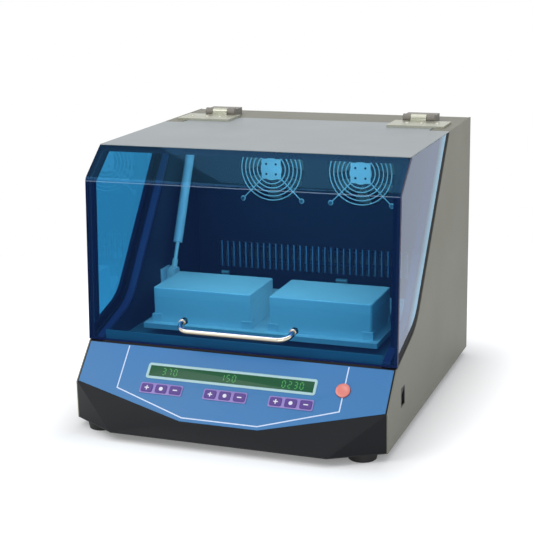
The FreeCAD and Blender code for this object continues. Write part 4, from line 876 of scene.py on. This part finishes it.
# %% Key pads, keys and their signs
KEY_GROUPS, KEY_PITCH, KEY_S = (-101.0, -1.0, 99.0), 22.5, 1.5
SIGN_LOW, SIGN_TOP = 2.4, 2.75
SIGNS = {-1: [(7, 1.7, 0.5, 0.0), (1.7, 7, 0.5, 0.01)], 0: [(6, 6, 2.9, 0.0)], 1: [(7, 1.7, 0.5, 0.0)]}
pads = [panel_pad(rounded(67.0, 17.0, 2.5), x, KEY_S, 0.8, 1.75, 0.3) for x in KEY_GROUPS]
piece("key_pads", join(pads), "casing", lilac_print, smooth=40)
number = 0
for group in KEY_GROUPS:
    for step, sign in SIGNS.items():
        number += 1
        x, body = group + step * KEY_PITCH, "key_body_%d" % number
        cap = panel_pad(rounded(18, 13, 2.6), x, KEY_S, -3.0, 2.8, 0.7, sink=0.25)
        piece("key_cap_%d" % number, cap, body, key_purple, ["key_%d" % number])
        bars = [panel_pad(rounded(*size), x, KEY_S, SIGN_LOW, SIGN_TOP + more, 0.1) for *size, more in sign]
        piece("key_sign_%d" % number, join(bars), body, key_white)

# %% [markdown]
# The start button is a round cap with a raised rim and a dished middle, so it is turned about the panel's own
# direction.

# %% Start button
BUTTON = [(11.5, -3), (10.5, -3), (10.5, 2.8), (10.2, 3.2), (9.6, 3.4), (6, 3.0), (3, 2.8), (0.1, 2.75)]
BUTTON_PLACE = on_panel(170, 29, 0)
piece("start_button_dished", turned(BUTTON, BUTTON_PLACE, PANEL_NORMAL), "start_button_cap", button_red,
      ["start_button"])

# %% [markdown]
# The display is a dark green lens in a pale frame. The lens is one more pad, and a profile carried round a
# rounded rectangle gives the frame.

# %% Display lens and frame
DISPLAY_S = 29.5
lens_shape = panel_pad(rounded(254, 19, 1.0), 0, DISPLAY_S, 0.8, 1.3, 0.2)
piece("display_lens", lens_shape, "casing", lens_green, ["display_window"])
FRAME_PROFILE = [(-2.0, -0.9), (-2.0, 0.5), (-1.4, 0.9), (1.4, 0.9), (2.0, 0.5), (2.0, -0.9)]
around = rounded(258, 21, 2.0)
frame_path = on_panel(around[:, 0], DISPLAY_S + around[:, 1], 0.9)
piece("display_frame", carry(frame_path, FRAME_PROFILE, PANEL_NORMAL, closed=True), "casing", frame_pale)

# %% [markdown]
# Lit figures of this kind have seven bars, named a to g from the top round. Each figure lists the bars that
# it lights, and each bar is a thin pad on the lens.

# %% Seven-bar digits
BARS = {"0": "abcdef", "1": "bc", "2": "abged", "3": "abgcd", "5": "afgcd", "7": "abc"}
BAR, DIGIT_PITCH = 1.1, 9.0
READINGS = ((-104, "370"), (-12, "150"), (82, "0230"))


def digit(text, x, s, width=4.6, height=10.0):
    """Seven-bar digit: each bar is a thin pad between two of the six corner places."""
    w, h = width / 2, height / 2
    places = {"a": (0, h, 1), "g": (0, 0, 1), "d": (0, -h, 1), "f": (-w, h / 2, 0), "b": (w, h / 2, 0),
              "e": (-w, -h / 2, 0), "c": (w, -h / 2, 0)}
    made = []
    for dx, ds, flat in (places[bar] for bar in BARS[text]):
        shape = rounded(width - 1.6, BAR, 0.4, 2) if flat else rounded(BAR, h - 1.2, 0.4, 2)
        made.append(panel_pad(shape, x + dx, s + ds, 1.25, 1.4, 0.05, steps=2))
    return made


digits = []
for start_x, text in READINGS:
    for k, sign in enumerate(text):
        digits += digit(sign, start_x + DIGIT_PITCH * k, DISPLAY_S)
piece("display_digits", join(digits), "casing", digit_green)

# %% [markdown]
# ## Chamber
# Everything inside is seen through the blue acrylic, so the metal there is kept plain and a little brighter
# than it looks in the photograph. The lids of the boxes are their own pieces, because they lift off.

# %% Chamber sheets, boxes, brackets and screws
for node, material, width in (("chamber_floor", lit_floor_paint, 0.4), ("chamber_walls", dark_lining, 0.4),
                              ("chamber_rear_wall", dark_lining, 0.3), ("platform_tray", tray_light, 0.4),
                              ("sample_boxes", box_white, 0.6), ("box_clips", zinc, 0.2),
                              ("hinge_front_leaves", nickel, 0.4), ("hinge_rear_leaves", hinge_grey, 0.5),
                              ("strut_lower_bracket", strut_paint, 0.3),
                              ("strut_upper_bracket", strut_paint, 0.3),
                              ("case_screws", steel, 0.25), ("bearing_housings", aluminium, 0.4),
                              ("box_lid_left", box_white, 0.4), ("box_lid_right", box_white, 0.4)):
    eased(node, material, width)

# %% [markdown]
# A fan guard is rings of wire welded to four arms, each arm with an eye for its screw, and a riveted plate in
# the middle. A round profile carried round circles and along lines gives all the wires.

# %% Fan guards of round wire
FAN_X, FAN_Z, WALL_Y = 78.0, 310.0, 418.0
RING_RADII, ARM, EYE_AT, EYE_RADIUS, WIRE = (53, 46, 39, 32, 25, 18), (11.0, 70.2), 74.2, 3.6, circle(1.0, 8)
PLATE, RIVET_AT, RIVET = 34, 8.5, [(0.1, 0), (2.0, 0), (2.0, 0.4), (1.4, 0.9), (0.1, 1.0)]
t = np.linspace(0, 2 * math.pi, 64, endpoint=False)
wires, rivets = [], []
for x in (-FAN_X, FAN_X):
    for radius in RING_RADII:
        ring = at(x + radius * np.cos(t), WALL_Y - 3, FAN_Z + radius * np.sin(t))
        wires.append(carry(ring, WIRE, (0, 1, 0), closed=True))
    for turn in np.radians([45, 135, 225, 315]):
        along = np.array(ARM)
        arm = at(x + along * math.cos(turn), WALL_Y - 1, FAN_Z + along * math.sin(turn))
        wires.append(carry(arm, WIRE, (0, 1, 0)))
        eye_x, eye_z = x + EYE_AT * math.cos(turn), FAN_Z + EYE_AT * math.sin(turn)
        eye = at(eye_x + EYE_RADIUS * np.cos(t[::4]), WALL_Y - 1, eye_z + EYE_RADIUS * np.sin(t[::4]))
        wires.append(carry(eye, WIRE, (0, 1, 0), closed=True))
    plate = rounded(PLATE, PLATE, 2.0)
    wires.append(pillow(plate, lambda a, b, h: at(x + a, WALL_Y - 2 - h, FAN_Z + b), 0.0, 2.0, 0.3))
    for dx in (-RIVET_AT, RIVET_AT):
        for dz in (-RIVET_AT, RIVET_AT):
            rivets.append(turned(RIVET, at(x + dx, WALL_Y - 4, FAN_Z + dz), (0, -1, 0), 16))
piece("fan_guard_wires", join(wires), "casing", guard_bright, ["fan_guards"])
piece("fan_guard_rivets", join(rivets), "casing", black_plastic)

# %% [markdown]
# The air slots are pressed out of the sheet, which leaves a lip beside each one that catches the light. A row
# of small pads in front of the wall shows the lips, in a pale colour that is a painted highlight, and the
# slots themselves are holes in the solid.

# %% Raised lips of the air slots
SLOT_PITCH, SLOT_Z, SLOT_MARGIN, LIP_OFF = 11.0, 158.0, 57.0, 3.5
LIP = rounded(2.2, 45.0, 1.0)
count = int(2 * (HALF - SLOT_MARGIN) / SLOT_PITCH)
lips = []
for i in range(count):
    x = (i - (count - 1) / 2) * SLOT_PITCH
    lips.append(pillow(LIP, lambda a, b, h: at(x + LIP_OFF + a, WALL_Y - h, SLOT_Z + b), 0.0, 1.6, 0.5))
piece("slot_lips", join(lips), "casing", lip_highlight_paint)

# %% [markdown]
# ## The rest
# Pieces behind the rear wall and under the chamber floor are seldom seen, and the strut is a plain round tube
# and rod. They keep their solids and get the material that the real ones have.

# %% Solids that only need a material
for material, nodes in ((board_green, ("panel_board", "control_board")),
                        (steel, ("drive_bearings", "heater", "main_crank", "idler_crank_left",
                                 "idler_crank_right", "motor_pulley")),
                        (black_plastic, ("motor", "fan_housings", "fan_rotor_left", "fan_rotor_right")),
                        (rubber, ("drive_belt",)), (foam_white, ("duct_divider",)), (zinc, ("power_supply",)),
                        (aluminium, ("platform_hubs",)), (strut_paint, ("strut_cylinder",)),
                        (guard_bright, ("strut_rod",))):
    for node in nodes:
        dress(node, material)
